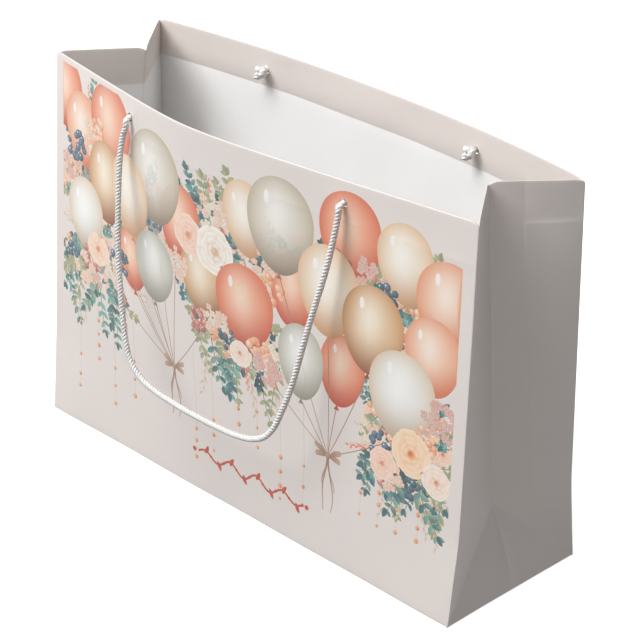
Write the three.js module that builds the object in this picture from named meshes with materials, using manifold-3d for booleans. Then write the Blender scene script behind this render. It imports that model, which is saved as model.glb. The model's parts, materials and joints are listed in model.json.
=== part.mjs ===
// Large landscape paper gift bag with two twisted-cord handles, standing open.
//
// Millimetres, +Z up. The origin is the middle of the base, on the surface that the bag stands on.
// The front panel faces -Y, the long way of the mouth runs along X, and +X is the bag's right side.
//
// The walls, the turned-in hem and the bottom flaps are one folded paper sheet. It is divided here at
// its creases, one node to each panel. The two cards behind the hem, the loose base card and the two
// knotted handle cords are the other pieces.

import * as THREE from "three";
import { mergeVertices } from "three/addons/utils/BufferGeometryUtils.js";
import Module from "manifold-3d";

const wasm = await Module();
wasm.setup();

// ---- Driving dimensions -------------------------------------------------------------------------

const HALF_WIDTH = 203;
const HALF_DEPTH = 63;
const RIM_Z = 283.5;
const PAPER = 0.4;
const TOP_CARD = 0.8;
const BASE_CARD = 1.2;
const GAP = 0.3;

// The soft horizontal crease left by folding the bag flat, and its share of the height.
const CREASE_Z = 63;
const CREASE_V = CREASE_Z / RIM_Z;

const HEM_HEIGHT = 28;
const TOP_CARD_HEIGHT = 26;
const RIM_RECESS = 0.5;

const HOLE_X = 100;
const HOLE_Z = 268;
const HOLE_RADIUS = 3;
const HOLE_SIDES = 20;

const CORD_DIAMETER = 4.5;
const KNOT_RADIUS = 6;
const KNOT_TAIL = 7;
const CORD_SIDES = 10;
const CORD_STEPS = 40;
const PIVOT_STANDOFF = 3.2;
const STUB_CLEARANCE = 2.7;
const HANDLE_TILT = THREE.MathUtils.degToRad(9);

// Each upright corner of the bag: at the base, at the soft crease and at the rim, on the right side.
const FRONT_CORNER = [
  new THREE.Vector3(HALF_WIDTH, -HALF_DEPTH, 0),
  new THREE.Vector3(204.5, -56.7, CREASE_Z),
  new THREE.Vector3(201.5, -45.5, RIM_Z),
];
const REAR_CORNER = [
  new THREE.Vector3(HALF_WIDTH, HALF_DEPTH, 0),
  new THREE.Vector3(204.7, 54.5, CREASE_Z),
  new THREE.Vector3(203, 51.5, RIM_Z),
];

// The fold down the middle of a gusset: its apex over the base triangle, and its end at the rim.
const GUSSET_APEX = new THREE.Vector3(183.3, 0, 59.8);
const GUSSET_RIM = new THREE.Vector3(163.6, 4.7, RIM_Z);

// The panels bow out towards the rim. The front one is a rounded tent off the middle, the rear one
// a shallow arch.
const FRONT_BOW = { height: 26.5, peakX: -32, rounding: 0.2 };
const REAR_BOW = { height: 16.5, power: 2.2 };

// Depths below the outer face of a wall, from the outside in.
const WALL_LAYER = [0, PAPER];
const GUSSET_HEM_LAYER = [PAPER + GAP, 2 * PAPER + GAP];
const TOP_CARD_LAYER = [PAPER + GAP, PAPER + GAP + TOP_CARD];
const PANEL_HEM_LAYER = [TOP_CARD_LAYER[1] + GAP, TOP_CARD_LAYER[1] + GAP + PAPER];

// Width lost at each upright edge, so that neighbouring layers clear each other in the corner.
const GUSSET_CORNER_TRIM = 1.3;
const TOP_CARD_TRIM = 4;
const PANEL_HEM_TRIM = 4.5;
const GUSSET_HEM_TRIM = 6;
const FOLD_TRIM = 0.3;

// Where walls start and end short of a fold, as shares of the height they run over.
const WALL_FOOT_V = GAP / RIM_Z;
const GUSSET_FOOT_V = 0.12 * CREASE_V;
const TRIANGLE_SPAN = [0.006, 0.95];
const HEM_FOOT_V = 1 - HEM_HEIGHT / RIM_Z;
const SEAM_SPAN = [CREASE_V + 0.03, HEM_FOOT_V - 0.01];

// The glued seam tab keeps these distances from the gusset's middle fold and from its rear corner.
const SEAM_TRIM = [18, 29];

// The bottom flaps, from the fold at one edge of the base to as far as each reaches across.
const FLAP_PITCH = PAPER + GAP;
const FLAP_HALF_LENGTH = 201.2;
const FLAP_EDGE = 61.6;
const FLAP_CORNER_CUT = 14;
const SIDE_FLAP_TAPER = 18;
const BACK_FLAP_REACH = -45;
const FRONT_FLAP_REACH = 35;
const SIDE_FLAP_REACH = 142;
const BASE_CARD_HALF = [196, 58];
const CARD_CORNER = 4;

// The handle's run from hole to hole, in its own plane: sideways, and down from the hole line.
const HANDLE_ROUTE = [
  [-100, 0], [-102.5, 13], [-103.5, 30], [-102, 52], [-99.5, 75], [-96.5, 96], [-92.5, 115],
  [-88, 133], [-82, 153], [-75, 168], [-64, 177], [-49, 181.5], [-32, 183.5], [-15, 184.7],
  [0, 185], [17, 185], [34, 184], [49, 181], [60, 175], [67, 166], [72, 153], [78, 133],
  [82, 112], [85.5, 92], [90.5, 68], [95, 46], [98.5, 20], [100, 0],
];

// ---- Materials ----------------------------------------------------------------------------------

const finish = (color, roughness) => new THREE.MeshStandardMaterial({ color, roughness, metalness: 0 });
const printedPaper = () => finish(0xe3dad5, 0.55);
const whitePaper = () => finish(0xf0efee, 0.75);
const greyCard = () => finish(0xcfcac2, 0.9);
const whiteCord = () => finish(0xf4f3f0, 0.8);

// ---- Wall surfaces ------------------------------------------------------------------------------

// A point on a line through three points, bent at the soft crease.
function alongCorner([base, crease, rim], v) {
  if (v < CREASE_V) {
    return base.clone().lerp(crease, v / CREASE_V);
  }
  return crease.clone().lerp(rim, (v - CREASE_V) / (1 - CREASE_V));
}

function frontBow(x) {
  const { height, peakX, rounding } = FRONT_BOW;
  const reach = x > peakX ? HALF_WIDTH - peakX : HALF_WIDTH + peakX;
  const share = (x - peakX) / reach;
  const top = Math.hypot(1, rounding);
  return (height * (top - Math.hypot(share, rounding))) / (top - rounding);
}

function rearBow(x) {
  const share = Math.min(Math.abs(x) / HALF_WIDTH, 1);
  return REAR_BOW.height * (1 - share ** REAR_BOW.power);
}

// Outer faces of the walls. u runs anticlockwise round the bag seen from above, v runs up.
function frontFace(u, v) {
  const corner = alongCorner(FRONT_CORNER, v);
  const x = corner.x * (2 * u - 1);
  return new THREE.Vector3(x, corner.y - frontBow(x) * v, corner.z);
}

function backFace(u, v) {
  const corner = alongCorner(REAR_CORNER, v);
  const x = corner.x * (1 - 2 * u);
  return new THREE.Vector3(x, corner.y + rearBow(x) * v, corner.z);
}

// The gusset's middle line: the slanted fold of the base triangle, then the upright fold.
function middleFold(corner, v) {
  return alongCorner([corner[0], GUSSET_APEX, GUSSET_RIM], v);
}

function gussetFrontFace(u, v) {
  return alongCorner(FRONT_CORNER, v).lerp(middleFold(FRONT_CORNER, v), u);
}

function gussetRearFace(u, v) {
  return middleFold(REAR_CORNER, v).lerp(alongCorner(REAR_CORNER, v), u);
}

function baseTriangleFace(u, v) {
  const front = FRONT_CORNER[0].clone().lerp(GUSSET_APEX, v);
  const rear = REAR_CORNER[0].clone().lerp(GUSSET_APEX, v);
  return front.lerp(rear, u);
}

// The same wall on the bag's left side, still anticlockwise seen from above.
function mirrored(face) {
  return (u, v) => {
    const point = face(1 - u, v);
    point.x = -point.x;
    return point;
  };
}

// ---- Solids -------------------------------------------------------------------------------------

// The unit normal that points into the bag.
function inwardNormal(face, u, v) {
  const step = 0.002;
  const across = face(u + step, v).sub(face(u - step, v));
  const up = face(u, v + step).sub(face(u, v - step));
  return up.cross(across).normalize();
}

// A flat board bent onto a face: levels are the heights of its rows, layer its depths below the face,
// trim the width lost at its two upright edges.
function bentSheet(face, { levels, layer, columns, trim = [0, 0] }) {
  const rows = levels.length - 1;
  const board = new THREE.BoxGeometry(1, 1, 1, columns, 1, rows);
  const position = board.attributes.position;
  for (let i = 0; i < position.count; i += 1) {
    const v = levels[Math.round((position.getZ(i) + 0.5) * rows)];
    const width = face(0, v).distanceTo(face(1, v));
    const low = trim[0] / width;
    const high = 1 - trim[1] / width;
    const u = low + (high - low) * (position.getX(i) + 0.5);
    const depth = layer[Math.round(position.getY(i) + 0.5)];
    const point = face(u, v).addScaledVector(inwardNormal(face, u, v), depth);
    position.setXYZ(i, point.x, point.y, point.z);
  }
  return board;
}

// Row heights from one share of the wall height to another, with a row on the soft crease.
function levelsBetween(low, high, count) {
  const even = Array.from({ length: count + 1 }, (_, i) => low + ((high - low) * i) / count);
  if (low >= CREASE_V || high <= CREASE_V) {
    return even;
  }
  const clear = (high - low) / count / 2;
  return [...even.filter((v) => Math.abs(v - CREASE_V) > clear), CREASE_V].sort((a, b) => a - b);
}

function toSolid(geometry) {
  const bare = geometry.clone();
  bare.deleteAttribute("normal");
  bare.deleteAttribute("uv");
  const merged = mergeVertices(bare, 1e-4);
  return new wasm.Manifold(
    new wasm.Mesh({
      numProp: 3,
      vertProperties: new Float32Array(merged.attributes.position.array),
      triVerts: new Uint32Array(merged.index.array),
    }),
  );
}

function toGeometry(solid) {
  const mesh = solid.getMesh();
  const geometry = new THREE.BufferGeometry();
  geometry.setAttribute("position", new THREE.BufferAttribute(new Float32Array(mesh.vertProperties), 3));
  geometry.setIndex(new THREE.BufferAttribute(new Uint32Array(mesh.triVerts), 1));
  geometry.computeVertexNormals();
  return geometry;
}

// Cuts the two cord holes of a panel, right through whatever layer is given. side is -1 at the front.
function withCordHoles(geometry, side) {
  let solid = toSolid(geometry);
  for (const x of [-HOLE_X, HOLE_X]) {
    const drill = new THREE.CylinderGeometry(HOLE_RADIUS, HOLE_RADIUS, HALF_DEPTH, HOLE_SIDES);
    drill.translate(x, side * HALF_DEPTH, HOLE_Z);
    solid = solid.subtract(toSolid(drill));
  }
  return toGeometry(solid);
}

// A flat plate lying level, from an outline of [x, y] corners.
function levelPlate(outline, bottomZ, thickness) {
  const shape = new THREE.Shape(outline.map(([x, y]) => new THREE.Vector2(x, y)));
  const plate = new THREE.ExtrudeGeometry(shape, { depth: thickness, bevelEnabled: false });
  return plate.translate(0, 0, bottomZ);
}

// ---- Bag body -----------------------------------------------------------------------------------

const bag = new THREE.Group();

function addPiece(name, geometry, material) {
  const piece = new THREE.Mesh(geometry, material);
  piece.name = name;
  bag.add(piece);
}

const TOP_CARD_LEVELS = levelsBetween(1 - TOP_CARD_HEIGHT / RIM_Z, 1 - RIM_RECESS / RIM_Z, 2);

function addPanel(name, face, side) {
  const wall = { levels: levelsBetween(WALL_FOOT_V, 1, 8), layer: WALL_LAYER, columns: 24 };
  addPiece(`${name}_panel`, withCordHoles(bentSheet(face, wall), side), printedPaper());
  const card = {
    levels: TOP_CARD_LEVELS,
    layer: TOP_CARD_LAYER,
    columns: 24,
    trim: [TOP_CARD_TRIM, TOP_CARD_TRIM],
  };
  addPiece(`${name}_top_card`, withCordHoles(bentSheet(face, card), side), greyCard());
  const hem = {
    levels: levelsBetween(HEM_FOOT_V, 1, 2),
    layer: PANEL_HEM_LAYER,
    columns: 24,
    trim: [PANEL_HEM_TRIM, PANEL_HEM_TRIM],
  };
  addPiece(`${name}_hem`, withCordHoles(bentSheet(face, hem), side), printedPaper());
}

// One half of a gusset. cornerFirst says that u starts at the upright corner, not at the fold.
function addGussetHalf(name, face, cornerFirst) {
  const trimFor = (corner) => (cornerFirst ? [corner, FOLD_TRIM] : [FOLD_TRIM, corner]);
  const wall = {
    levels: levelsBetween(GUSSET_FOOT_V, 1, 12),
    layer: WALL_LAYER,
    columns: 6,
    trim: trimFor(GUSSET_CORNER_TRIM),
  };
  addPiece(name, bentSheet(face, wall), printedPaper());
  const hem = {
    levels: levelsBetween(HEM_FOOT_V, 1, 2),
    layer: GUSSET_HEM_LAYER,
    columns: 6,
    trim: trimFor(GUSSET_HEM_TRIM),
  };
  addPiece(`${name}_hem`, bentSheet(face, hem), printedPaper());
}

function addBaseTriangle(name, face) {
  const triangle = {
    levels: levelsBetween(...TRIANGLE_SPAN, 4),
    layer: WALL_LAYER,
    columns: 4,
    trim: [FOLD_TRIM, FOLD_TRIM],
  };
  addPiece(name, bentSheet(face, triangle), printedPaper());
}

// The glued overlap of the sheet's two ends, inside the rear half of the right gusset.
function addSideSeamTab() {
  const tab = {
    levels: levelsBetween(...SEAM_SPAN, 10),
    layer: GUSSET_HEM_LAYER,
    columns: 2,
    trim: SEAM_TRIM,
  };
  addPiece("side_seam_tab", bentSheet(gussetRearFace, tab), whitePaper());
}

// ---- Bottom -------------------------------------------------------------------------------------

function addBottom() {
  // A flap's free edge is cut back at 45 degrees, so that it clears the side flaps' folds.
  const flapOutline = (foldY, freeY) => {
    const cut = Math.sign(foldY - freeY) * FLAP_CORNER_CUT;
    return [
      [-FLAP_HALF_LENGTH, foldY],
      [-FLAP_HALF_LENGTH, freeY + cut],
      [-FLAP_HALF_LENGTH + FLAP_CORNER_CUT, freeY],
      [FLAP_HALF_LENGTH - FLAP_CORNER_CUT, freeY],
      [FLAP_HALF_LENGTH, freeY + cut],
      [FLAP_HALF_LENGTH, foldY],
    ];
  };
  const backFlap = flapOutline(FLAP_EDGE, BACK_FLAP_REACH);
  addPiece("bottom_back_flap", levelPlate(backFlap, 0, PAPER), printedPaper());
  const frontFlap = flapOutline(-FLAP_EDGE, FRONT_FLAP_REACH);
  addPiece("bottom_front_flap", levelPlate(frontFlap, FLAP_PITCH, PAPER), printedPaper());
  for (const [name, side] of [["left", -1], ["right", 1]]) {
    const sideFlap = [
      [side * FLAP_HALF_LENGTH, -FLAP_EDGE],
      [side * FLAP_HALF_LENGTH, FLAP_EDGE],
      [side * SIDE_FLAP_REACH, FLAP_EDGE - SIDE_FLAP_TAPER],
      [side * SIDE_FLAP_REACH, SIDE_FLAP_TAPER - FLAP_EDGE],
    ];
    addPiece(`bottom_${name}_flap`, levelPlate(sideFlap, 2 * FLAP_PITCH, PAPER), printedPaper());
  }
  const [x, y] = BASE_CARD_HALF;
  const card = [
    [-x + CARD_CORNER, -y], [x - CARD_CORNER, -y], [x, -y + CARD_CORNER], [x, y - CARD_CORNER],
    [x - CARD_CORNER, y], [-x + CARD_CORNER, y], [-x, y - CARD_CORNER], [-x, -y + CARD_CORNER],
  ];
  addPiece("base_card", levelPlate(card, 3 * FLAP_PITCH, BASE_CARD), greyCard());
}

// ---- Handles ------------------------------------------------------------------------------------

// Where a cord passes through a wall: the point on the wall's outer face at the middle of the hole.
function holePoint(face, x) {
  const v = HOLE_Z / RIM_Z;
  const halfChord = face(1, v).x;
  return face((x / halfChord + 1) / 2, v);
}

// The knot inside the wall, with its short tail and the cord's run out through the hole, turned
// round the hole's axis. side is -1 at the front.
function knotGeometry(hole, side) {
  const cordRadius = CORD_DIAMETER / 2;
  const stubEnd = STUB_CLEARANCE - PIVOT_STANDOFF;
  const knotCentre = PANEL_HEM_LAYER[1] + GAP + KNOT_RADIUS;
  const profile = [new THREE.Vector2(0, stubEnd), new THREE.Vector2(cordRadius, stubEnd)];
  const entry = Math.asin(cordRadius / KNOT_RADIUS);
  const steps = 6;
  for (let i = 0; i <= steps; i += 1) {
    const angle = entry + ((Math.PI - 2 * entry) * i) / steps;
    const radius = KNOT_RADIUS * Math.sin(angle);
    profile.push(new THREE.Vector2(radius, knotCentre - KNOT_RADIUS * Math.cos(angle)));
  }
  const tailEnd = knotCentre + KNOT_RADIUS + KNOT_TAIL;
  profile.push(new THREE.Vector2(cordRadius, tailEnd), new THREE.Vector2(0, tailEnd));
  const knot = new THREE.LatheGeometry(profile, CORD_SIDES);
  if (side > 0) {
    knot.rotateX(Math.PI);
  }
  return knot.translate(hole.x, hole.y, hole.z);
}

// The cord from hole to hole, hanging in a plane that leans out from the wall at the bottom.
function handleGeometry(leftHole, rightHole, side) {
  const out = new THREE.Vector3(0, side, 0);
  const left = leftHole.clone().addScaledVector(out, PIVOT_STANDOFF);
  const right = rightHole.clone().addScaledVector(out, PIVOT_STANDOFF);
  const middle = left.clone().add(right).multiplyScalar(0.5);
  const across = right.clone().sub(left).divideScalar(2 * HOLE_X);
  const down = new THREE.Vector3(0, side * Math.sin(HANDLE_TILT), -Math.cos(HANDLE_TILT));
  const points = HANDLE_ROUTE.map(([x, drop]) =>
    middle.clone().addScaledVector(across, x).addScaledVector(down, drop),
  );
  const section = new THREE.Shape();
  for (let i = 0; i < CORD_SIDES; i += 1) {
    const angle = (2 * Math.PI * i) / CORD_SIDES;
    const corner = [(CORD_DIAMETER / 2) * Math.cos(angle), (CORD_DIAMETER / 2) * Math.sin(angle)];
    if (i === 0) {
      section.moveTo(...corner);
    } else {
      section.lineTo(...corner);
    }
  }
  const extrudePath = new THREE.CatmullRomCurve3(points, false, "centripetal");
  return new THREE.ExtrudeGeometry(section, { steps: CORD_STEPS, extrudePath });
}

function addHandle(name, face, side) {
  const holes = [-HOLE_X, HOLE_X].map((x) => holePoint(face, x));
  addPiece(`${name}_left_knot`, knotGeometry(holes[0], side), whiteCord());
  addPiece(`${name}_right_knot`, knotGeometry(holes[1], side), whiteCord());
  addPiece(`${name}_handle`, handleGeometry(holes[0], holes[1], side), whiteCord());
}

// ---- Assembly -----------------------------------------------------------------------------------

addPanel("front", frontFace, -1);
addPanel("back", backFace, 1);
addGussetHalf("right_gusset_front", gussetFrontFace, true);
addGussetHalf("right_gusset_rear", gussetRearFace, false);
addGussetHalf("left_gusset_front", mirrored(gussetFrontFace), false);
addGussetHalf("left_gusset_rear", mirrored(gussetRearFace), true);
addBaseTriangle("right_base_triangle", baseTriangleFace);
addBaseTriangle("left_base_triangle", mirrored(baseTriangleFace));
addSideSeamTab();
addBottom();
addHandle("front", frontFace, -1);
addHandle("back", backFace, 1);

export default bag;
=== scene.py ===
"""The looks of a large paper gift bag with two twisted-rope handles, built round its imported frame."""

import json
import logging
import math
import random
from dataclasses import dataclass, field
from enum import Enum
from typing import Callable, Iterable, Optional, Sequence

import bpy
import numpy as np
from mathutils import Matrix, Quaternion, Vector
from mathutils.geometry import delaunay_2d_cdt

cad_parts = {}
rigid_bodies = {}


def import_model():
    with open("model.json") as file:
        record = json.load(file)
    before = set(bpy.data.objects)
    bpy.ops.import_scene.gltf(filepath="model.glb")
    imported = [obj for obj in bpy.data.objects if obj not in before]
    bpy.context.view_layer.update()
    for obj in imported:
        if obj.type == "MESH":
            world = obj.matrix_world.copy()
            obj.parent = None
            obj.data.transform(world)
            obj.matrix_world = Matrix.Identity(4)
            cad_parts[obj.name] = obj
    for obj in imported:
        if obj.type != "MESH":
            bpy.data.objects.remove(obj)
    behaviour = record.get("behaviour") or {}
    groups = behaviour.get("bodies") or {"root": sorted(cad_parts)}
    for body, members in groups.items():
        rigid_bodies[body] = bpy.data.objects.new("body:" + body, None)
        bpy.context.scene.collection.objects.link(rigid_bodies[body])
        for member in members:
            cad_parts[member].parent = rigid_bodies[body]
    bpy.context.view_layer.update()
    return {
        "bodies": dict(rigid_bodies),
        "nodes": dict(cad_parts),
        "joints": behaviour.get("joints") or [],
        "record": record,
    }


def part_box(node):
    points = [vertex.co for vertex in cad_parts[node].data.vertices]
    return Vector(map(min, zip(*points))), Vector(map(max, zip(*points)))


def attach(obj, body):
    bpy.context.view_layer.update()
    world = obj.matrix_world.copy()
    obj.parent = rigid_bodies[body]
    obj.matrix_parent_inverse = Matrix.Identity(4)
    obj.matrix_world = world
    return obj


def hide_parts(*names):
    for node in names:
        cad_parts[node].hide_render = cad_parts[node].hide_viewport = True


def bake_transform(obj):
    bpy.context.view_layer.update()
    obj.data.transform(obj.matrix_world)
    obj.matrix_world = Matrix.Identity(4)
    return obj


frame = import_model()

MM = 0.001
# Mesh corners closer than this, in mm, become one.
WELD_MM = 2e-3
# Faces that meet at more than this are shaded with an edge between them, as at a cut.
SHARP_EDGE = math.radians(62)
# Sides of the polygon that stands for a cord hole's edge.
HOLE_SIDES = 24
LOG = logging.getLogger("gift_bag")

Colour = tuple[float, float, float]


# ---- Colour and node helpers --------------------------------------------------------------------


def linear(hex_colour: str) -> Colour:
    """Turn an sRGB hex colour into linear values.

    Args:
        hex_colour: six hex digits, with or without a leading hash.

    Returns:
        The red, green and blue shares in linear light.
    """
    digits = hex_colour.lstrip("#")
    shares = [int(digits[i : i + 2], 16) / 255 for i in (0, 2, 4)]
    return tuple(s / 12.92 if s <= 0.04045 else ((s + 0.055) / 1.055) ** 2.4 for s in shares)


def add_node(tree: bpy.types.NodeTree, kind: str, values: Optional[dict] = None,
             links: Optional[dict] = None) -> bpy.types.Node:
    """Add one node with its settings and the links into it.

    Args:
        tree: the node tree that takes the node.
        kind: the node's type name.
        values: node properties and input values, by name or by input number.
        links: output sockets to join, by input name or number.

    Returns:
        The new node.
    """
    node = tree.nodes.new(kind)
    for name, value in (values or {}).items():
        if isinstance(name, str) and hasattr(node, name):
            setattr(node, name, value)
        else:
            node.inputs[name].default_value = value
    for name, socket in (links or {}).items():
        tree.links.new(socket, node.inputs[name])
    return node


def new_material(name: str) -> tuple[bpy.types.Material, bpy.types.NodeTree]:
    """Make an empty node material and return it with its tree."""
    material = bpy.data.materials.new(name)
    material.use_nodes = True
    material.node_tree.nodes.clear()
    return material, material.node_tree


def close_material(tree: bpy.types.NodeTree, shader: bpy.types.Node) -> None:
    """Join a shader to the material's output."""
    add_node(tree, "ShaderNodeOutputMaterial", links={"Surface": shader.outputs[0]})


def place_object(name: str, data: bpy.types.ID) -> bpy.types.Object:
    """Make an object of some data and link it to the scene."""
    made = bpy.data.objects.new(name, data)
    bpy.context.scene.collection.objects.link(made)
    return made


# ---- Finishes -----------------------------------------------------------------------------------


@dataclass(frozen=True)
class PaperFinish:
    """Coated or bare wood-free paper, as a bag maker buys it.

    Real paper fibres are about 0.03 mm thick. They are drawn as a mottle of 0.8 mm, because the
    real ones are too fine to show.
    """

    name: str
    colour: str
    roughness: float
    printed: bool
    coat: float
    fibre_depth: float
    mottle: float
    fibre_mm: float = 0.8
    cloud_mm: float = 60.0

    def build(self) -> bpy.types.Material:
        """Build the node material.

        Returns:
            The paper material. The printed one reads its ink from the mesh's Print attribute.
        """
        material, tree = new_material(self.name)
        place = add_node(tree, "ShaderNodeTexCoord").outputs["Object"]
        fibre = add_node(tree, "ShaderNodeTexNoise",
                         {"Scale": 1 / (self.fibre_mm * MM), "Detail": 5.0, "Roughness": 0.65},
                         {"Vector": place})
        cloud = add_node(tree, "ShaderNodeTexNoise",
                         {"Scale": 1 / (self.cloud_mm * MM), "Detail": 3.0},
                         {"Vector": place})
        shade = add_node(tree, "ShaderNodeMapRange",
                         {"From Min": 0.3, "From Max": 0.7, "To Min": 1 - self.mottle,
                          "To Max": 1 + self.mottle}, {"Value": fibre.outputs["Fac"]})
        drift = add_node(tree, "ShaderNodeMapRange",
                         {"From Min": 0.3, "From Max": 0.7, "To Min": 0.985, "To Max": 1.015},
                         {"Value": cloud.outputs["Fac"]})
        both = add_node(tree, "ShaderNodeMath", {"operation": "MULTIPLY"},
                        {0: shade.outputs[0], 1: drift.outputs[0]})
        toned = add_node(tree, "ShaderNodeVectorMath", {"operation": "SCALE", 0: linear(self.colour)},
                         {"Scale": both.outputs[0]})
        if self.printed:
            ink = add_node(tree, "ShaderNodeAttribute", {"attribute_name": "Print"})
            tree.links.new(ink.outputs["Color"], toned.inputs[0])
        # Worn folds and painted highlight: the coating cracks along a crease and the bare white core shows
        # through, and the same lightening also stands in for the highlight that the creases and the rim catch.
        fold = add_node(tree, "ShaderNodeAttribute", {"attribute_name": "FoldWearHighlight"}).outputs["Fac"]
        wear_and_highlight = add_node(tree, "ShaderNodeMath", {"operation": "MULTIPLY"},
                        {0: fold, 1: fibre.outputs["Fac"]})
        amount = add_node(tree, "ShaderNodeMath", {"operation": "MULTIPLY", 1: 0.55},
                          {0: wear_and_highlight.outputs[0]})
        core = add_node(tree, "ShaderNodeMix", {"data_type": "RGBA", "B": (*linear("F2EFEA"), 1)},
                        {"Factor": amount.outputs[0], "A": toned.outputs[0]})
        rough = add_node(tree, "ShaderNodeMapRange",
                         {"From Min": 0.3, "From Max": 0.7, "To Min": self.roughness - 0.05,
                          "To Max": self.roughness + 0.06}, {"Value": fibre.outputs["Fac"]})
        fine = add_node(tree, "ShaderNodeBump", {"Strength": 0.5, "Distance": self.fibre_depth * MM},
                        {"Height": fibre.outputs["Fac"]})
        shader = add_node(tree, "ShaderNodeBsdfPrincipled",
                          {"IOR": 1.48, "Coat Weight": self.coat, "Coat Roughness": 0.32,
                           "Sheen Weight": 0.05, "Sheen Roughness": 0.6},
                          {"Base Color": core.outputs["Result"], "Roughness": rough.outputs[0],
                           "Normal": fine.outputs[0]})
        close_material(tree, shader)
        return material


@dataclass(frozen=True)
class BoardFinish:
    """Grey recycled board: pressed pulp with darker and lighter flecks about a millimetre long."""

    name: str = "grey_recycled_board"
    colour: str = "C9C3B8"
    fleck_mm: float = 1.1

    def build(self) -> bpy.types.Material:
        """Build the node material."""
        material, tree = new_material(self.name)
        place = add_node(tree, "ShaderNodeTexCoord").outputs["Object"]
        fleck = add_node(tree, "ShaderNodeTexNoise",
                         {"Scale": 1 / (self.fleck_mm * MM), "Detail": 6.0, "Roughness": 0.75},
                         {"Vector": place})
        cloud = add_node(tree, "ShaderNodeTexNoise", {"Scale": 25.0, "Detail": 2.0}, {"Vector": place})
        tone = add_node(tree, "ShaderNodeValToRGB", links={"Fac": fleck.outputs["Fac"]})
        tone.color_ramp.elements[0].position = 0.3
        tone.color_ramp.elements[0].color = (*linear("A69F93"), 1)
        tone.color_ramp.elements[1].position = 0.62
        tone.color_ramp.elements[1].color = (*linear(self.colour), 1)
        pale = add_node(tree, "ShaderNodeMix", {"data_type": "RGBA", "B": (*linear("DAD5CB"), 1)},
                        {"Factor": cloud.outputs["Fac"], "A": tone.outputs["Color"]})
        bump = add_node(tree, "ShaderNodeBump", {"Strength": 0.6, "Distance": 0.00008},
                        {"Height": fleck.outputs["Fac"]})
        shader = add_node(tree, "ShaderNodeBsdfPrincipled", {"Roughness": 0.88, "IOR": 1.45},
                          {"Base Color": pale.outputs["Result"], "Normal": bump.outputs[0]})
        close_material(tree, shader)
        return material


@dataclass(frozen=True)
class RopeFinish:
    """White twisted polypropylene cord: bundles of soft filaments that lie along each strand.

    A filament is about 0.1 mm thick. The lines are drawn every 0.4 mm, so that they show.
    """

    name: str = "white_twisted_polypropylene"
    colour: str = "FBFAF8"
    filament_mm: float = 0.4

    def build(self) -> bpy.types.Material:
        """Build the node material, which reads the strand's own directions from the mesh and paints shade into
        the grooves between strands.
        """
        material, tree = new_material(self.name)
        lay = add_node(tree, "ShaderNodeAttribute", {"attribute_name": "Lay"})
        lines = add_node(tree, "ShaderNodeTexWave",
                         {"wave_type": "BANDS", "bands_direction": "Y", "Scale": 0.32 / self.filament_mm,
                          "Distortion": 1.6, "Detail": 3.0, "Detail Scale": 1.5},
                         {"Vector": lay.outputs["Vector"]})
        fuzz = add_node(tree, "ShaderNodeTexNoise", {"Scale": 1.4, "Detail": 4.0},
                        {"Vector": lay.outputs["Vector"]})
        tone = add_node(tree, "ShaderNodeMapRange", {"To Min": 0.93, "To Max": 1.0},
                        {"Value": lines.outputs["Fac"]})
        # Painted shade: the cord is darkened where it sinks into the grooves between the strands.
        deep = add_node(tree, "ShaderNodeAttribute", {"attribute_name": "GrooveShade"}).outputs["Fac"]
        groove_shade_tone = add_node(tree, "ShaderNodeMapRange", {"To Min": 1.0, "To Max": 0.93}, {"Value": deep})
        both = add_node(tree, "ShaderNodeMath", {"operation": "MULTIPLY"},
                        {0: tone.outputs[0], 1: groove_shade_tone.outputs[0]})
        toned = add_node(tree, "ShaderNodeVectorMath", {"operation": "SCALE", 0: linear(self.colour)},
                         {"Scale": both.outputs[0]})
        height = add_node(tree, "ShaderNodeMath", {"operation": "ADD"},
                          {0: lines.outputs["Fac"], 1: fuzz.outputs["Fac"]})
        bump = add_node(tree, "ShaderNodeBump", {"Strength": 0.7, "Distance": 0.0001},
                        {"Height": height.outputs[0]})
        shader = add_node(tree, "ShaderNodeBsdfPrincipled",
                          {"Roughness": 0.62, "IOR": 1.49, "Sheen Weight": 0.35,
                           "Sheen Roughness": 0.4, "Subsurface Weight": 0.08,
                           "Subsurface Scale": 0.002},
                          {"Base Color": toned.outputs[0], "Normal": bump.outputs[0]})
        close_material(tree, shader)
        return material


@dataclass(frozen=True)
class FloorFinish:
    """Matt white studio sweep, painted, with a faint roller texture."""

    name: str = "matt_white_sweep"
    colour: str = "F8F8F7"
    glow: float = 0.78

    def build(self) -> bpy.types.Material:
        """Build the node material."""
        material, tree = new_material(self.name)
        place = add_node(tree, "ShaderNodeTexCoord").outputs["Object"]
        grain = add_node(tree, "ShaderNodeTexNoise", {"Scale": 120.0, "Detail": 2.0}, {"Vector": place})
        tone = add_node(tree, "ShaderNodeMapRange", {"To Min": 0.99, "To Max": 1.0},
                        {"Value": grain.outputs["Fac"]})
        toned = add_node(tree, "ShaderNodeVectorMath", {"operation": "SCALE", 0: linear(self.colour)},
                         {"Scale": tone.outputs[0]})
        shader = add_node(tree, "ShaderNodeBsdfPrincipled",
                          {"Roughness": 0.9, "Specular IOR Level": 0.2,
                           "Emission Color": (1, 1, 1, 1), "Emission Strength": self.glow},
                          {"Base Color": toned.outputs[0]})
        close_material(tree, shader)
        return material


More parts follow.
